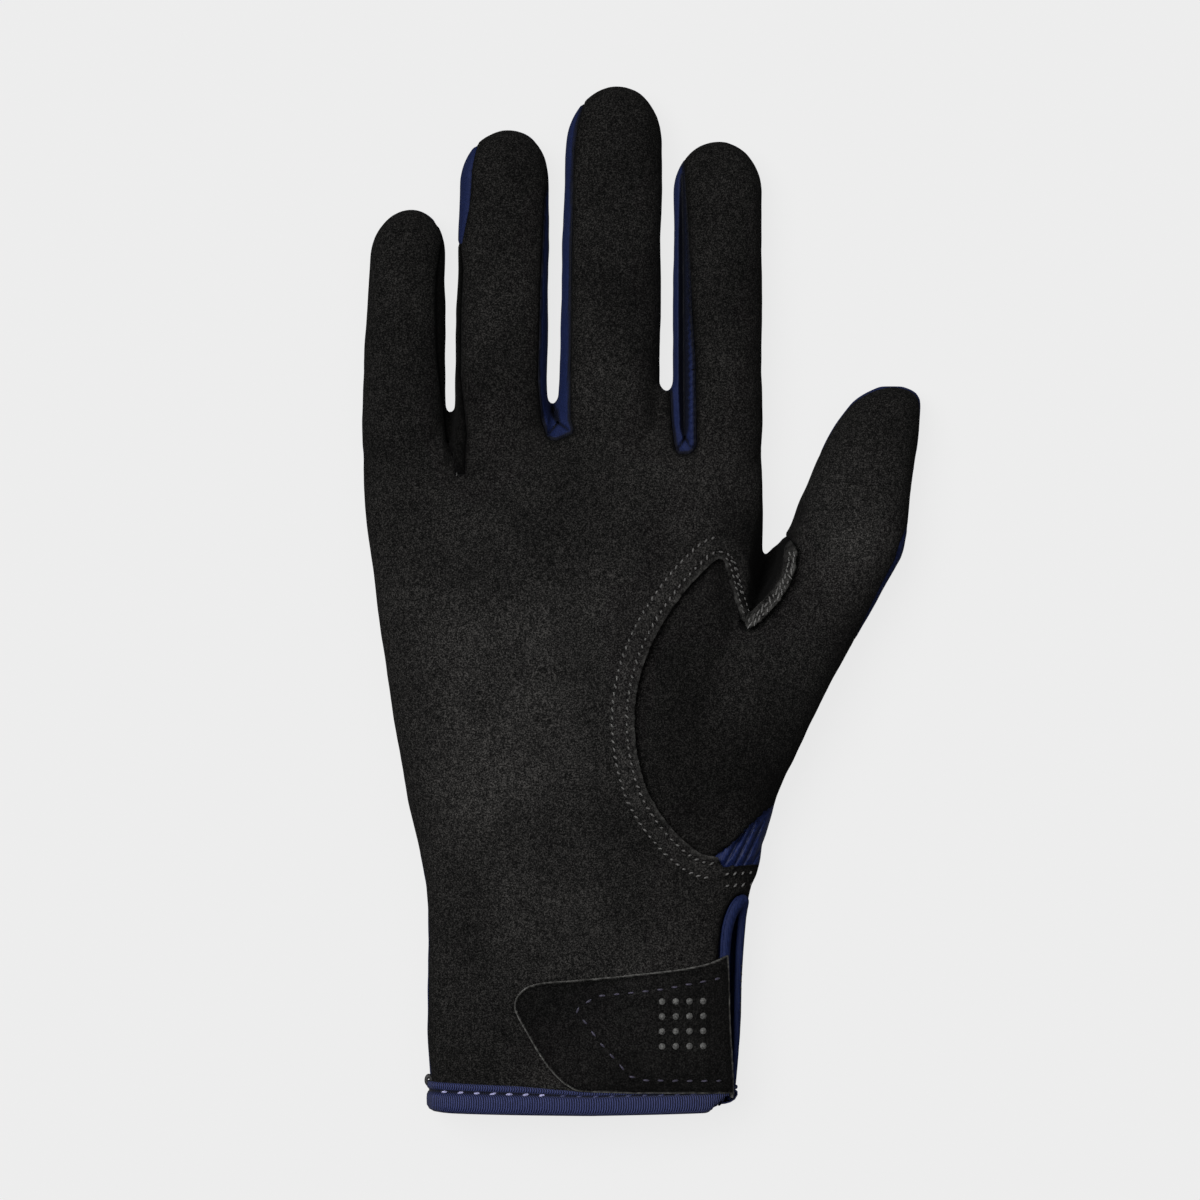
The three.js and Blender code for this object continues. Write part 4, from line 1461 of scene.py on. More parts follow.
def distances(places: np.ndarray, points: list[Vector]) -> np.ndarray:
    """Return each place's distance from the nearest of some points."""
    tree = KDTree(len(points))
    for index, point in enumerate(points):
        tree.insert(point, index)
    tree.balance()
    return np.array([tree.find(place)[2] for place in places])


@dataclass
class Sheet:
    """A panel of cloth whose edges are shaped before it gets its thickness."""

    made: bpy.types.Object
    roll_depth: float = 0.4 * MM
    roll_width: float = 1.2 * MM

    def edge_points(self) -> list[Vector]:
        """Return points along the sheet's open edge."""
        bm = opened(self.made.data)
        points = [
            edge.verts[0].co.lerp(edge.verts[1].co, share)
            for edge in bm.edges
            if edge.is_boundary
            for share in (0.0, 0.5)
        ]
        bm.free()
        return points

    def roll_edges(self, stays: Sequence[list[Vector]] = (), reach: float = 1.2 * MM) -> None:
        """Turn the open edges in, apart from those near the given lines in plan.

        Args:
            stays: lines in plan along which the edge stays flat.
            reach: how near to a line that is.
        """
        points = self.edge_points()
        if stays:
            table = np.array([point[:] for point in points])
            near = np.zeros(len(points), dtype=bool)
            for line in stays:
                near |= along_line(table, line)[0] < reach
            points = [point for point, skip in zip(points, near) if not skip]
        mesh = self.made.data
        places = coordinates(mesh)
        inward = self.roll_depth * (1 - smoothstep(distances(places, points) / self.roll_width)) ** 1.5
        set_coordinates(mesh, places - normals(mesh) * inward[:, None])

    def write(self, name: str, values: np.ndarray) -> None:
        """Store a number for each vertex under a name that a material reads."""
        attribute = self.made.data.attributes.new(name, "FLOAT", "POINT")
        attribute.data.foreach_set("value", values.astype(np.float32))

    def brush(
        self, zones: Rows, tone: float = 1.0, worn: np.ndarray | None = None, band: np.ndarray | float = 0.0
    ) -> None:
        """Store the suede's lightness, painted light and shade included, and where the pale cut edge shows.

        Args:
            zones: lighter and darker patches, partly the pile's own tone and partly painted light and shade.
            tone: a lightness for the whole panel.
            worn: for each vertex, how much of the cut edge shows.
            band: for each vertex, lightness added on a raised band.
        """
        places = coordinates(self.made.data)
        light = np.full(len(places), 0.5)
        for across, along, wide, gain in zones:
            reach = np.linalg.norm(places[:, :2] - np.array(plan(across, along)), axis=1) / (wide * MM)
            light += gain * np.exp(-(reach**2))
        # Painted shade along every open edge of the panel: a broad darkening over a few millimetres and a
        # dark line within the last one.
        edge = distances(places, self.edge_points())
        seam = 1 - 0.8 * np.exp(-((edge / (0.6 * MM)) ** 2))
        light *= tone * (1 - 0.45 * np.exp(-edge / (1.4 * MM))) * seam
        # Painted shade in the deep web beside the thumb.
        web = THUMB_WEB.depth_at(places, normals(self.made.data)) / (3 * MM)
        light = (light + band) * (1 - 0.9 * smoothstep(web))
        self.write("nap", np.maximum(light, 0.02))
        self.write("worn", np.zeros(len(places)) if worn is None else worn)

    def refine(self, lines: list[list[Vector]], reach: float) -> None:
        """Split the faces near some lines in plan, so that fine creases can be pressed in.

        Args:
            lines: the lines in plan.
            reach: how near to a line a face is split.
        """
        bm = opened(self.made.data)
        edges = list(bm.edges)
        middles = np.array([edge.verts[0].co.lerp(edge.verts[1].co, 0.5)[:] for edge in edges])
        near = np.zeros(len(edges), dtype=bool)
        for line in lines:
            near |= along_line(middles, list(line))[0] < reach
        bmesh.ops.subdivide_edges(bm, edges=[edge for edge, close in zip(edges, near) if close], cuts=1)
        bmesh.ops.triangulate(bm, faces=bm.faces)
        bm.to_mesh(self.made.data)
        bm.free()

    def crease(self, folds: list[Fold]) -> np.ndarray:
        """Press fine creases into the sheet and return how deep each vertex went."""
        mesh = self.made.data
        places = coordinates(mesh)
        facing = normals(mesh)
        depth = np.sum([fold.depth_at(places, facing) for fold in folds], axis=0)
        places[:, 2] -= depth
        set_coordinates(mesh, places)
        return depth

    def shift(self, amounts: np.ndarray) -> None:
        """Move each vertex out along its normal by its own amount."""
        mesh = self.made.data
        set_coordinates(mesh, coordinates(mesh) + normals(mesh) * amounts[:, None])

    def thicken(self, wall: float = WALL) -> None:
        """Give the sheet its thickness, inwards."""
        solid = self.made.modifiers.new("cloth", "SOLIDIFY")
        solid.thickness = wall
        solid.offset = -1.0
        solid.use_rim = True


def landed(surface: BVHTree, place: Vector) -> tuple[Vector | None, Vector | None]:
    """Return where a place in plan meets a surface from above, and which way the surface faces there."""
    return surface.ray_cast(Vector((place.x, place.y, ABOVE)), DOWN)[:2]


@dataclass(frozen=True)
class StitchRow:
    """A row of stitches laid on a surface."""

    length: float
    pitch: float
    radius: float
    slant: float = 0.0
    lift: float = 0.0
    jitter: float = 0.12

    def sew(
        self, bm: bmesh.types.BMesh, line: list[Vector], surface: BVHTree, dice: random.Random
    ) -> None:
        """Add the stitches to a bmesh, along a line in plan that is laid on a surface from above.

        Args:
            bm: the bmesh to add to.
            line: the row's line in plan.
            surface: what the row lies on.
            dice: draws the unevenness.
        """
        for place, run in spaced(line, self.pitch):
            hit, facing = landed(surface, place)
            if hit is None or facing.z < 0.15:
                continue
            self.stitch(bm, hit, Vector((run.x, run.y, 0)), facing, dice)

    def stitch(
        self, bm: bmesh.types.BMesh, hit: Vector, run: Vector, facing: Vector, dice: random.Random
    ) -> None:
        """Add one stitch at a point of a surface.

        Args:
            bm: the bmesh to add to.
            hit: the stitch's place.
            run: the row's direction.
            facing: the surface's normal.
            dice: draws the unevenness.
        """
        along = (run - facing * run.dot(facing)).normalized()
        along.rotate(Matrix.Rotation(self.slant + dice.uniform(-self.jitter, self.jitter), 3, facing))
        side = facing.cross(along)
        size = self.length * (1 + dice.uniform(-self.jitter, self.jitter))
        turn = Matrix((along, side, facing)).transposed().to_4x4()
        scale = Matrix.Diagonal((0.5 * size, self.radius, self.radius, 1))
        place = Matrix.Translation(hit + facing * self.lift)
        bmesh.ops.create_uvsphere(bm, u_segments=8, v_segments=5, radius=1.0, matrix=place @ turn @ scale)


def surface_of(*made: bpy.types.Object) -> BVHTree:
    """Return a search tree over finished pieces, with their modifiers."""
    bm = bmesh.new()
    graph = bpy.context.evaluated_depsgraph_get()
    for piece in made:
        mesh = piece.evaluated_get(graph).to_mesh()
        bm.from_mesh(mesh)
    tree = BVHTree.FromBMesh(bm)
    bm.free()
    return tree


def hem_line() -> list[Vector]:
    """Return the line in plan on which the panels end at the wrist."""
    return [Vector((WRIST.x + side * PALM_WIDTH, WRIST.y + HEM_LIFT)) for side in (-1, 1)]


@dataclass
class PalmSide:
    """The suede palm, with the edge and the stitches of its thumb hole."""

    room: PatternRoom
    wardrobe: Wardrobe
    band: float = 5.6 * MM
    inner_row: float = 1.7 * MM
    outer_row: float = 5.0 * MM
    hole: list[Vector] = field(default_factory=lambda: smooth_line(THUMB_HOLE, 60))
    gusset_top: list[Vector] = field(default_factory=lambda: smooth_line(GUSSET_TOP, 10))
    gusset_foot: list[Vector] = field(default_factory=lambda: smooth_line(GUSSET_FOOT, 10))
    vent: list[Vector] = field(default_factory=lambda: smooth_line(VENT_EDGE, 20))
    panel: bpy.types.Object = field(init=False)

    def thumb_outline(self, lap: float = 0.0) -> list[Vector]:
        """Return the thumb's part of the plan, grown under the palm by a lap along the hole's edge."""
        top = on_plan([(0.462, 1.4), (0.462, 0.875), (0.5, 0.862)])
        side = on_plan([(0.9, 0.49), (0.9, 1.4)])
        hole = lapped(self.hole, -lap) if lap else self.hole[:-1]
        return [*top, *hole, *self.gusset_top, *side]

    def gusset_outline(self, lap: float = 0.0) -> list[Vector]:
        """Return the gusset's outline, grown under its neighbours by a lap."""
        line = [*self.gusset_foot, *self.gusset_top]
        return [*(lapped(line, lap) if lap else line), plan(0.54, 0.48)]

    def vent_outline(self) -> list[Vector]:
        """Return the outline of the open vent at the wrist."""
        return [*self.vent, *on_plan([(0.336, -0.1), (0.6, -0.1), (0.6, 0.312)])]

    def build(self) -> None:
        """Cut the palm, raise the band round the thumb hole and turn the other edges in."""
        steps = [(fork.slit(), Side.OUTSIDE) for fork in FORKS]
        steps += [
            (self.thumb_outline(), Side.OUTSIDE),
            (self.gusset_outline(), Side.OUTSIDE),
            (self.vent_outline(), Side.OUTSIDE),
            (on_plan(HEEL_CORNER), Side.OUTSIDE),
        ]
        sheet = Sheet(self.room.panel(self.room.upper, steps))
        sheet.roll_edges(stays=[self.hole, self.gusset_foot, hem_line()])
        places = coordinates(sheet.made.data)
        gap, share = along_line(places, self.hole)
        nearby = smoothstep((0.24 - share) / 0.05)
        ridge = smoothstep((mix(self.band, 3.0 * MM, nearby) - gap) / (1.1 * MM))
        crescent = nearby * smoothstep((2.9 * MM - gap) / (0.8 * MM))
        rows = [np.exp(-(((gap - row) / (0.45 * MM)) ** 2)) for row in (self.inner_row, self.outer_row)]
        fray = np.array([noise.noise(Vector(point) * 900) for point in places])
        worn = smoothstep((1.3 * MM - gap) / (1.2 * MM)) * fray
        pale = 0.35 * smoothstep((0.9 * MM - gap) / (0.8 * MM)) * (0.6 + fray)
        sheet.brush(
            PALM_NAP_AND_PAINTED_LIGHT,
            worn=pale + crescent * (0.1 + 0.25 * fray),
            band=0.35 * ridge * (1 - 0.7 * (rows[0] + rows[1])),
        )
        sheet.shift((0.42 * ridge + 1.0 * crescent - 0.22 * (rows[0] + rows[1]) + 0.3 * worn) * MM)
        sheet.thicken()
        self.panel = finished(
            sheet.made, "palm_suede_panel", "palm_suede", self.wardrobe.palm, "palm_panel"
        )

    def sew(self, dice: random.Random) -> None:
        """Sew the two rows round the thumb hole, the narrow row at its peak and the rein patch's ladder."""
        surface = surface_of(self.panel)
        bm = bmesh.new()
        row = StitchRow(1.05 * MM, 1.8 * MM, 0.23 * MM, slant=0.5, lift=0.06 * MM, jitter=0.3)
        for distance in (self.inner_row, self.outer_row):
            line = moved_left(self.hole, -distance)
            start = 20 if distance == self.inner_row else 25
            row.sew(bm, line[start:], surface, dice)
        low = moved_left(list(reversed(self.gusset_foot)), 0)
        for distance in (1.5 * MM, 4.2 * MM):
            row.sew(bm, moved_left(low, -distance), surface, dice)
        twist = StitchRow(1.8 * MM, 1.3 * MM, 0.22 * MM, slant=0.5, lift=0.12 * MM, jitter=0.5)
        for distance in (0.9 * MM, 1.9 * MM):
            twist.sew(bm, moved_left(self.hole, -distance)[:17], surface, dice)
        narrow = StitchRow(0.9 * MM, 1.4 * MM, 0.17 * MM, slant=0.3, lift=0.05 * MM)
        for distance in (0.9 * MM, 2.1 * MM):
            narrow.sew(bm, moved_left(self.hole, -distance)[18:25], surface, dice)
        ladder = StitchRow(1.6 * MM, 0.9 * MM, 0.1 * MM, slant=1.3, lift=0.03 * MM, jitter=0.3)
        ladder.sew(bm, on_plan([(-0.306, 1.278), (-0.312, 1.228)]), surface, dice)
        tuft = StitchRow(1.2 * MM, 0.5 * MM, 0.1 * MM, slant=1.2, lift=0.1 * MM, jitter=0.5)
        tuft.sew(bm, on_plan([(-0.316, 0.947), (-0.304, 0.951)]), surface, dice)
        sewn(bm, "thumb_hole_stitches", self.wardrobe.grey_thread)


@dataclass
class BackSide:
    """The knit back of the hand."""

    room: PatternRoom
    wardrobe: Wardrobe
    thumb_outline: list[Vector] = field(
        default_factory=lambda: on_plan([(0.451, 1.4), (0.451, 0.372), (0.9, 0.372), (0.9, 1.4)])
    )

    def build(self) -> None:
        """Cut the back and the back of the thumb."""
        solid = cut(self.room.lower, self.room.over_fork_seam, Side.INSIDE)
        zones = [(fork.zone(), Side.OUTSIDE) for fork in FORKS]
        shared = [(self.thumb_outline, Side.OUTSIDE), (on_plan(HEEL_CORNER), Side.OUTSIDE)]
        upper_strip = self.room.panel(solid, [*shared, *zones])
        discard(solid)
        solid = cut(self.room.lower, self.room.over_fork_seam, Side.OUTSIDE)
        base = self.room.panel(solid, shared)
        discard(solid)
        bm = bmesh.new()
        for part in (upper_strip, base):
            bm.from_mesh(part.data)
            discard(part)
        bmesh.ops.remove_doubles(bm, verts=bm.verts, dist=0.12 * MM)
        sheet = Sheet(as_object("back", bm))
        sheet.roll_edges(stays=[hem_line()])
        sheet.thicken()
        finished(sheet.made, "back_knit_panel", "back_knit", self.wardrobe.back, "back_panel")
        low = self.room.below(self.room.form.solid, on_plan(THUMB_SIDE))
        thumb = Sheet(self.room.panel(low, [(self.thumb_outline, Side.INSIDE)]))
        discard(low)
        thumb.roll_edges()
        thumb.thicken()
        finished(thumb.made, "thumb_back_knit", "back_knit", self.wardrobe.back, "thumb_back")


@dataclass
class ThumbCover:
    """The suede over the thumb and the gathered knit at its foot."""

    room: PatternRoom
    wardrobe: Wardrobe
    palm: PalmSide
    lap: float = 3.0 * MM
    sunk: float = 1.25 * MM

    def build(self) -> None:
        """Cut the two panels and sink their edges under the palm's."""
        outline = self.palm.thumb_outline()
        side = on_plan(THUMB_SIDE)
        steps = [(self.palm.thumb_outline(self.lap), Side.INSIDE), (side, Side.OUTSIDE)]
        front = Sheet(self.room.panel(self.room.upper, steps))
        front.roll_edges(stays=[self.palm.hole, moved_left(self.palm.hole, -self.lap), self.palm.gusset_top])
        places = coordinates(front.made.data)
        gap, _ = along_line(places, self.palm.hole)
        depth = np.where(inside(places, outline), gap, -gap)
        front.brush(THUMB_NAP_AND_PAINTED_LIGHT, tone=0.95)
        front.shift(-self.sunk * (1 - smoothstep((depth - 0.4 * MM) / (5 * MM))))
        front.thicken()
        finished(front.made, "thumb_suede_panel", "palm_suede", self.wardrobe.palm, "thumb_front")
        gusset = Sheet(self.room.panel(self.room.upper, [(self.palm.gusset_outline(2.2 * MM), Side.INSIDE)]))
        places = coordinates(gusset.made.data)
        rim = np.minimum(
            along_line(places, self.palm.gusset_top)[0], along_line(places, self.palm.gusset_foot)[0]
        )
        within = inside(places, self.palm.gusset_outline())
        depth = np.where(within, rim, -rim)
        wall = 1 - smoothstep(normals(gusset.made.data)[:, 2] * 1.6)
        flush = wall * smoothstep((depth + 1.0 * MM) / (0.8 * MM))
        gusset.shift(-1.3 * MM * (1 - 0.55 * smoothstep(depth / (2.2 * MM))) * (1 - flush))
        gusset.refine([fold.line for fold in GATHERS], 6 * MM)
        creased = gusset.crease(GATHERS)
        # Painted shade in the pressed gathers, darker where they sink deeper.
        gusset.write("painted_shade", np.clip(0.7 * creased / (1.0 * MM), 0, 0.8))
        gusset.thicken(STRIP_WALL)
        finished(gusset.made, "thumb_gusset_knit", "gathered_knit", self.wardrobe.gathered, "thumb_gusset")


@dataclass
class ForkStrips:
    """The strips between the fingers, and the gathered ends of two of them."""

    room: PatternRoom
    wardrobe: Wardrobe

    def strip(self, fork: Fork) -> bpy.types.Object:
        """Cut a fork's open sheet: the side walls of the gap and what the palm's slit leaves bare."""
        tall = cut(self.room.form.solid, self.room.over_fork_seam, Side.INSIDE)
        zone = prism(fork.zone())
        near = cut(tall, zone, Side.INSIDE)
        discard(tall)
        discard(zone)
        bare = self.room.below(near, fork.slit())
        discard(near)
        return self.room.skin(bare)

    def rolled(self, strip: bpy.types.Object) -> Sheet:
        """Return a strip as a sheet with its edges turned in."""
        sheet = Sheet(strip, roll_depth=0.3 * MM, roll_width=0.9 * MM)
        sheet.roll_edges()
        return sheet

    def build(self) -> None:
        """Cut the strips and finish them."""
        for fork, creases in ((RING_MIDDLE, RING_MIDDLE_CREASES), (MIDDLE_INDEX, MIDDLE_INDEX_CREASES)):
            sheet = self.rolled(self.strip(fork))
            sheet.refine([fold.line for fold in creases], 3 * MM)
            depth = sheet.crease(creases)
            places = coordinates(sheet.made.data)
            # Painted shade in the pressed creases, and a dark painted shadow line along the strip's edges
            # beside the suede.
            seam = 1 - smoothstep((distances(places, sheet.edge_points()) - 0.45 * MM) / (0.5 * MM))
            sheet.write("painted_shade", np.clip(np.maximum(depth / (0.85 * MM), 0.97 * seam), 0, 1))
            if fork is MIDDLE_INDEX:
                gap, _ = along_line(places, INDEX_RIDGE)
                scallops = 0.6 + 0.4 * np.sin(places[:, 1] * 2 * math.pi / (1.75 * MM))
                sheet.shift(0.55 * MM * np.exp(-((gap / (0.6 * MM)) ** 2)) * scallops)
            sheet.thicken(STRIP_WALL)
            node = f"fork_{fork.name}"
            finished(sheet.made, f"{node}_knit", "fork_knit", self.wardrobe.fork, node)
        rein_end = mix(LITTLE_RING.crotch * PALM_LENGTH, FINGERS["ring"].fork_end, REIN_PATCH_END)
        whole = self.strip(LITTLE_RING)
        for name, low, slot, finish, node in (
            ("rein_patch_suede", True, "palm_suede", self.wardrobe.palm, "rein_patch"),
            ("ring_fork_knit", False, "fork_knit", self.wardrobe.fork, "fork_strip_ring"),
        ):
            bm = opened(whole.data)
            bmesh.ops.bisect_plane(
                bm,
                geom=[*bm.verts, *bm.edges, *bm.faces],
                plane_co=(0, WRIST.y + rein_end, 0),
                plane_no=(0, 1, 0),
            )
            middle = LITTLE_RING.middle(rein_end)
            other = []
            for face in bm.faces:
                place = face.calc_center_median()
                if (place.y > WRIST.y + rein_end and place.x > middle) == low:
                    other.append(face)
            bmesh.ops.delete(bm, geom=other, context="FACES")
            sheet = self.rolled(as_object(name, bm))
            # Painted shade: these strips are painted at 0.4 of the palm's lightness, deep between the little
            # and the ring finger; only the suede patch's finish reads it.
            sheet.brush(PALM_NAP_AND_PAINTED_LIGHT, tone=0.4)
            sheet.thicken(STRIP_WALL)
            finished(sheet.made, name, slot, finish, node)
        discard(whole)


# Wrist


@dataclass
class WristHem:
    """The folded elastic round the wrist's edge, its stitches and the thread loop at its left end.

    Rows of the lean: place across as a share, and how far the tape's foot and its top lie higher. Rows of
    the profile: height from the hem, and distance out of the palm's skin. All but the place are millimetres.
    The groove says how deep in shade some heights of the profile lie.
    """

    form: GloveForm
    wardrobe: Wardrobe
    sides: int = 200
    corner: float = 1.8 * MM
    risen: float = 1.7 * MM
    lean: Rows = (
        (-0.386, 0.75, 1.45), (-0.16, 0.5, 0.75), (0.015, 0.35, -0.6), (0.3, 0.8, 0.2), (0.38, 0.6, 0.3),
    )
    profile: Rows = (
        (6.4, 0.25), (6.38, 0.62), (6.2, 0.85), (5.75, 0.95), (5.2, 0.85), (4.95, 0.5), (4.65, 0.45),
        (4.4, 0.75), (4.0, 1.0), (3.0, 1.1), (1.6, 1.1), (0.7, 0.95), (0.2, 0.55), (0.0, -0.2),
        (0.0, -1.1), (0.3, -1.7), (1.2, -1.95), (4.0, -1.95), (6.2, -1.8),
    )
    # The groove holds the painted shade of some heights of the profile: in the stitched groove, and under
    # the suede's edge at the tape's top.
    tape: float = 0.35 * MM
    groove: dict[float, float] = field(default_factory=lambda: {6.4: 0.8, 4.95: 0.9, 4.65: 0.9, 4.4: 0.3})

    def lifted(self, x: float, height: float) -> float:
        """Return how far the tape lies higher than level, at a place across and a height from its foot."""
        places = [plan(row[0], 0).x for row in self.lean]
        foot, top = (
            float(np.interp(x, places, [row[column] for row in self.lean])) * MM for column in (1, 2)
        )
        return mix(foot, top, clamped((height - 4 * MM) / (2.4 * MM)))

    def build(self) -> bpy.types.Object:
        """Sweep the folded tape round the wrist and cut it at the vent."""
        bm = bmesh.new()
        around = bm.verts.layers.float.new("around")
        painted_shade = bm.verts.layers.float.new("painted_shade")
        rings = []
        for y, out in self.profile:
            oval = self.form.palm_oval(y * MM).grown(out * MM)
            ring = oval.ring(bm, self.sides)
            first = max(range(self.sides), key=lambda index: ring[index].co.x)
            reach = 0.0
            for step in range(self.sides):
                vert = ring[(first + step) % self.sides]
                if step:
                    reach += (vert.co - ring[(first + step - 1) % self.sides].co).length
                vert[around] = reach
                # Painted shade at the groove's heights and at the tape's top edge.
                vert[painted_shade] = self.groove.get(y, 0.0)
            rings.append(ring)
        edges = [ring_edges(ring) for ring in rings]
        for first, second in zip(edges, edges[1:]):
            bmesh.ops.bridge_loops(bm, edges=first + second)
        bmesh.ops.recalc_face_normals(bm, faces=bm.faces)
        left, right = (end(vert.co.x for vert in bm.verts) for end in (min, max))
        for vert in bm.verts:
            height = vert.co.y - WRIST.y
            for end, corner in ((left, self.corner), (right, 2 * self.corner)):
                if height < corner:
                    pull = corner - math.sqrt(max(corner**2 - (corner - height) ** 2, 0))
                    near = max(0.0, 1 - abs(vert.co.x - end) / (6 * MM))
                    vert.co.x += math.copysign(pull * near, -end)
            risen = clamped((vert.co.x - plan(0.3, 0).x) / (4 * MM))
            vert.co.y += self.risen * risen * risen * (3 - 2 * risen) * max(0, 1 - height / HEM_BAND)
            vert.co.y += self.lifted(vert.co.x, height)
        middles = [(face, face.calc_center_median()) for face in bm.faces]
        cutoff = [
            face for face, middle in middles
            if middle.x > plan(0.295, 0).x + 1.25 * (middle.y - WRIST.y) and middle.z > 0.4 * PALM_DEPTH
        ]
        bmesh.ops.delete(bm, geom=cutoff, context="FACES")
        tape = as_object("tape", bm)
        solid = tape.modifiers.new("tape", "SOLIDIFY")
        solid.thickness = self.tape
        solid.offset = -1.0
        return finished(tape, "hem_elastic", "elastic_binding", self.wardrobe.elastic, "hem_binding")

    def groove_line(self, start: float, end: float) -> list[Vector]:
        """Return the line in plan along the tape's groove between two shares across."""
        places = [plan(share, 0).x for share in np.linspace(start, end, 12)]
        return [Vector((x, WRIST.y + 4.7 * MM + self.lifted(x, 4.7 * MM))) for x in places]

    def sew(self, hem: bpy.types.Object, dice: random.Random) -> None:
        """Sew the rows in the groove and add the thread loop."""
        surface = surface_of(hem)
        bm = bmesh.new()
        row = StitchRow(1.6 * MM, 3.7 * MM, 0.3 * MM, slant=0.16, lift=0.1 * MM)
        row.sew(bm, self.groove_line(-0.365, -0.1), surface, dice)
        sewn(bm, "hem_stitches", self.wardrobe.lilac_thread)
        bm = bmesh.new()
        row.sew(bm, self.groove_line(-0.07, 0.28), surface, dice)
        sewn(bm, "hem_dark_stitches", self.wardrobe.navy_thread)
        bm = bmesh.new()
        centre = Vector((-48.3 * MM, -109.4 * MM, 9.5 * MM))
        section = bmesh.ops.create_circle(bm, segments=10, radius=0.42 * MM)["verts"]
        bmesh.ops.rotate(bm, verts=section, cent=(0, 0, 0), matrix=Matrix.Rotation(math.pi / 2, 3, "X"))
        bmesh.ops.translate(bm, verts=section, vec=centre + Vector((0.6 * MM, 0, 0)))
        bmesh.ops.spin(
            bm, geom=[*section, *ring_edges(section)], cent=centre, axis=(0, 0, 1), angle=2 * math.pi,
            steps=20, use_merge=True,
        )
        for vert in bm.verts:
            vert.co.y = centre.y + 1.45 * (vert.co.y - centre.y)
        bmesh.ops.recalc_face_normals(bm, faces=bm.faces)
        sewn(bm, "hem_thread_loop", self.wardrobe.black_thread)


@dataclass
class VentEdge:
    """The rolled binding round the open vent: a flat band with a thin rim, and a bead down the side."""

    form: GloveForm
    wardrobe: Wardrobe
    palm: PalmSide
    head_radius: float = 1.1 * MM
    foot_radius: float = 0.6 * MM
    clearance: float = 0.3 * MM
    stop: float = 4.0 * MM
    broad: float = 1.3
    steps: int = 120
    rim_steps: int = 80
    rim_radius: float = 0.28 * MM

    def path(self) -> list[tuple[Vector, float]]:
        """Return the binding's middle line with its radius at each point."""
        foot = HEM_BAND + self.clearance
        head = self.palm.vent[0].y - WRIST.y - self.head_radius - self.clearance

        def radius(y: float) -> float:
            """Return the binding's radius at a place from the hem."""
            return mix(self.foot_radius, self.head_radius, clamped((y - foot) / (head - foot)))

        def top(point: Vector) -> float:
            """Return the height of the palm over a point."""
            oval = self.form.palm_oval(point.y - WRIST.y)
            across = min(abs(point.x - oval.x) / oval.half_width, 1)
            return oval.z + oval.half_depth * (1 - across**oval.roundness) ** (1 / oval.roundness)

        beside = moved_left(self.palm.vent, self.broad * self.head_radius)
        upper = [*reversed(beside[5:]), beside[0]]
        upper = [Vector((upper[0].x, WRIST.y + foot)), *upper]
        over_back = 0.4 * PALM_DEPTH
        line = []
        for point in upper:
            y = point.y - WRIST.y
            height = max(top(point) - 0.6 * radius(y), over_back + radius(y))
            line.append((Vector((point.x, point.y, height)), self.broad * radius(y)))
        for share in (0.93, 0.75, 0.5, 0.25, 0.0):
            y = mix(self.stop, head, share)
            oval = self.form.palm_oval(max(y, 8 * MM))
            out = oval.x + oval.half_width - 0.95 * radius(y)
            line.append((Vector((out, WRIST.y + y, over_back + radius(y))), radius(y)))
        return line

    def build(self, dice: random.Random) -> None:
        """Sweep the band and its rim, and sew the bead."""
        rows = self.path()
        points = [row[0] for row in rows]
        path, radii = [], []
        for step in range(self.steps + 1):
            place = (len(points) - 1) * step / self.steps
            start = min(int(place), len(points) - 2)
            path.append(curve_at(points, place))
            size = mix(rows[start][1], rows[start + 1][1], place - start)
            radii.append((size, 0.8 * size))
        facing = Vector((0.6, 0, 0.8))
        bm = bmesh.new()
        tube(bm, path, radii, facing, 16)
        side = [
            (path[min(at + 1, self.steps)] - path[max(at - 1, 0)]).normalized().cross(facing).normalized()
            for at in range(self.steps + 1)
        ]
        rim = [point - across * (size[0] * 0.98) + facing * (0.25 * MM)
               for point, across, size in zip(path, side, radii)]
        tube(bm, rim[: self.rim_steps], [(self.rim_radius, self.rim_radius)] * self.rim_steps, facing, 8)
        band = finished(
            as_object("v", bm), "vent_knit_binding", "fork_knit", self.wardrobe.fork, "vent_binding"
        )
        bm = bmesh.new()
        bead = [plan(0.394, 0.226), plan(0.39, 0.15)]
        StitchRow(0.8 * MM, 1.7 * MM, 0.2 * MM, slant=0.5).sew(bm, bead, surface_of(band), dice)
        sewn(bm, "vent_stitches", self.wardrobe.black_thread)


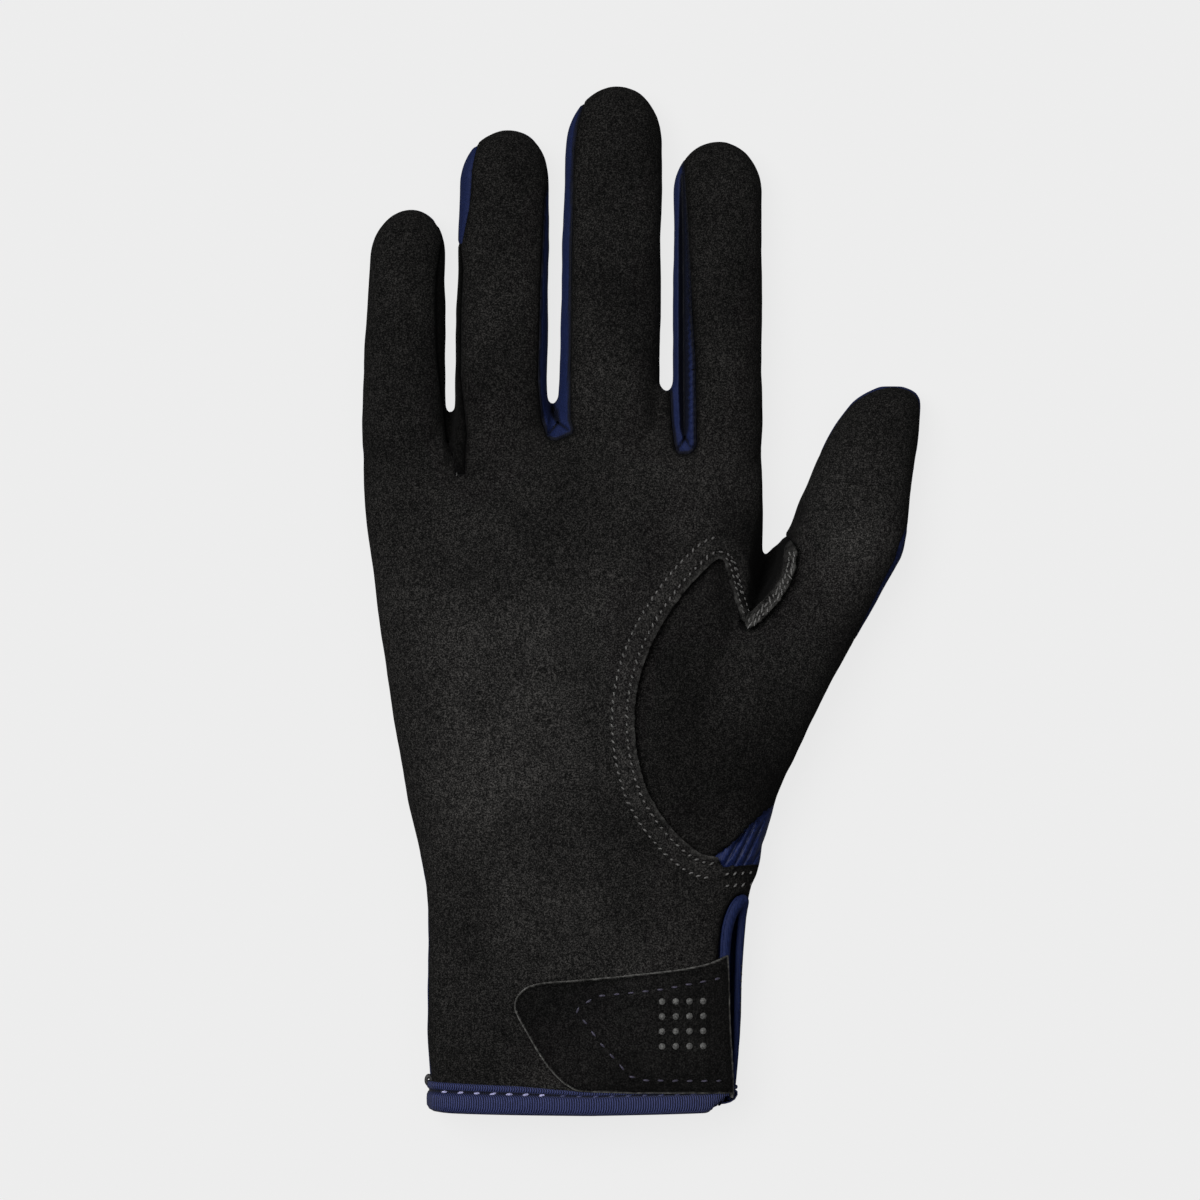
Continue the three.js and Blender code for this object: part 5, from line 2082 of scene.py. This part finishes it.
@dataclass
class Closure:
    """The suede tab over the wrist, with its hook pad, its stitched outline and a plain dotted print."""

    room: PatternRoom
    wardrobe: Wardrobe
    pad_height: float = 1.0 * MM
    tab_wall: float = 0.9 * MM
    dots: int = 4

    def outlines(self) -> tuple[list[Vector], list[Vector]]:
        """Return the outlines of the tab and of the hook pad."""
        return [*smooth_line(TAB_OUTLINE, 90), *on_plan(TAB_CORNER)], on_plan(HOOK_PAD)

    def build(self) -> bpy.types.Object:
        """Cut both sheets from the palm's own surface and lift them off it."""
        tab_line, pad_line = self.outlines()
        pad = Sheet(self.room.panel(self.room.upper, [(pad_line, Side.INSIDE)]))
        pad.shift(np.full(len(pad.made.data.vertices), 0.2 * MM + self.pad_height))
        pad.thicken(0.8 * self.pad_height)
        finished(pad.made, "closure_hook_pad", "hook_tape", self.wardrobe.hooks, "hook_pad")

        made = self.room.panel(self.room.upper, [(tab_line, Side.INSIDE)])
        bm = opened(made.data)
        discard(made)
        bmesh.ops.subdivide_edges(bm, edges=bm.edges, cuts=1, use_grid_fill=True)
        sheet = Sheet(as_object("tab", bm))
        places = coordinates(sheet.made.data)
        rim, _ = along_line(places, [*tab_line, tab_line[0]])
        gap, _ = along_line(places, [*pad_line, pad_line[0]])
        over = np.where(inside(places, pad_line), gap, -gap)
        lift = 0.55 * MM + self.tab_wall + self.pad_height * smoothstep((over + 2.5 * MM) / (3.5 * MM))
        groove = 0.28 * MM * np.exp(-((gap / (0.5 * MM)) ** 2))
        uneven = np.array([noise.noise(Vector(point) * 160 + Vector((3, 9, 2))) for point in places])
        droop = 0.25 * MM * (1 - smoothstep(rim / (2.0 * MM)))
        sheet.shift(lift - groove - droop + 0.3 * MM * uneven)
        fray = 0.75 + 0.7 * np.array([noise.noise(Vector(point) * 1100) for point in places])
        sheet.brush(TAB_NAP_AND_PAINTED_LIGHT, tone=0.88, worn=0.75 * fray * (1 - smoothstep((rim - 0.08 * MM) / (0.3 * MM))))
        sheet.thicken(self.tab_wall)
        return finished(sheet.made, "closure_tab_suede", "tab_suede", self.wardrobe.tab, "closure_tab")

    def sew(self, tab: bpy.types.Object, dice: random.Random) -> None:
        """Sew the pad's outline through the tab and print the dots."""
        surface = surface_of(tab)
        shares = [
            (0.35, 0.206), (0.19, 0.189), (0.04, 0.18), (-0.005, 0.167), (-0.015, 0.158), (0.04, 0.113),
            (0.115, 0.062), (0.153, 0.056), (0.365, 0.053),
        ]
        bm = bmesh.new()
        StitchRow(1.6 * MM, 3.3 * MM, 0.25 * MM, lift=0.04 * MM).sew(bm, on_plan(shares), surface, dice)
        sewn(bm, "closure_stitches", self.wardrobe.plum_thread)
        bm = bmesh.new()
        for row in range(self.dots):
            for column in range(self.dots):
                place = plan(0.195 + 0.034 * column, 0.172 - 0.022 * row)
                hit, facing = landed(surface, place)
                turn = facing.to_track_quat("Z", "Y").to_matrix().to_4x4()
                bmesh.ops.create_cone(
                    bm, cap_ends=True, segments=20, radius1=0.8 * MM, radius2=0.7 * MM, depth=0.4 * MM,
                    matrix=Matrix.Translation(hit + facing * 0.02 * MM) @ turn,
                )
        finished(as_object("dots", bm), "closure_dots", "print", self.wardrobe.ink)


# Studio


@dataclass
class Studio:
    """The camera over the glove, the pale floor and the soft light."""

    distance: float = 1.6
    width: float = 275.12 * MM
    centre: tuple[float, float] = (-9.29 * MM, 0.0)
    floor_glow: float = 0.786
    key: float = 2.75
    sky: float = 0.09

    def camera(self) -> None:
        """Hang the camera straight over the glove, as the photograph was taken."""
        data = bpy.data.cameras.new("camera")
        data.sensor_width = 36
        data.lens = 36 * self.distance / self.width
        data.clip_end = 50
        made = bpy.data.objects.new("camera", data)
        made.location = (*self.centre, self.distance)
        bpy.context.scene.collection.objects.link(made)
        bpy.context.scene.camera = made

    def floor(self) -> None:
        """Lay the floor, bright enough by itself that shadows on it stay faint."""
        bm = bmesh.new()
        bmesh.ops.create_grid(bm, x_segments=1, y_segments=1, size=4.0)
        bmesh.ops.translate(bm, verts=bm.verts, vec=(0, 0, -0.1 * MM))
        made = as_object("floor", bm)
        tree = NodeTree("floor")
        tree.shader.inputs["Base Color"].default_value = (0.06, 0.06, 0.06, 1)
        tree.shader.inputs["Emission Color"].default_value = (1, 1, 1, 1)
        tree.dress(Roughness=1.0, Specular_IOR_Level=0.0, Emission_Strength=self.floor_glow)
        made.data.materials.append(tree.material)
        made.visible_diffuse = False
        made.visible_glossy = False

    def light(self) -> None:
        """Set one broad key from the upper left, a weak fill and a dim sky."""
        for name, power, spread, tilt in (
            ("key", self.key, 40, (math.radians(-16), math.radians(-26), 0)),
            ("fill", 0.22 * self.key, 60, (math.radians(-10), math.radians(14), 0)),
        ):
            data = bpy.data.lights.new(name, "SUN")
            data.energy = power
            data.angle = math.radians(spread)
            made = bpy.data.objects.new(name, data)
            made.rotation_euler = tilt
            bpy.context.scene.collection.objects.link(made)
        world = bpy.data.worlds.new("sky")
        world.use_nodes = True
        world.node_tree.nodes["Background"].inputs["Color"].default_value = (1, 1, 1, 1)
        world.node_tree.nodes["Background"].inputs["Strength"].default_value = self.sky
        bpy.context.scene.world = world
        bpy.context.scene.view_settings.view_transform = "Standard"

    def build(self) -> None:
        """Make the studio."""
        self.camera()
        self.floor()
        self.light()


def main() -> None:
    """Build the glove piece by piece."""
    logging.basicConfig(level=logging.INFO, format="%(name)s %(message)s", stream=sys.stdout)
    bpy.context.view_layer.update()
    dice = random.Random(11)
    Studio().build()
    wardrobe = Wardrobe()
    form = GloveForm()
    form.build()
    room = PatternRoom(form)
    palm = PalmSide(room, wardrobe)
    palm.build()
    palm.sew(dice)
    BackSide(room, wardrobe).build()
    ThumbCover(room, wardrobe, palm).build()
    ForkStrips(room, wardrobe).build()
    hem = WristHem(form, wardrobe)
    hem.sew(hem.build(), dice)
    VentEdge(form, wardrobe, palm).build(dice)
    closure = Closure(room, wardrobe)
    closure.sew(closure.build(), dice)
    room.close()
    discard(form.solid)


if __name__ == "__main__":
    main()
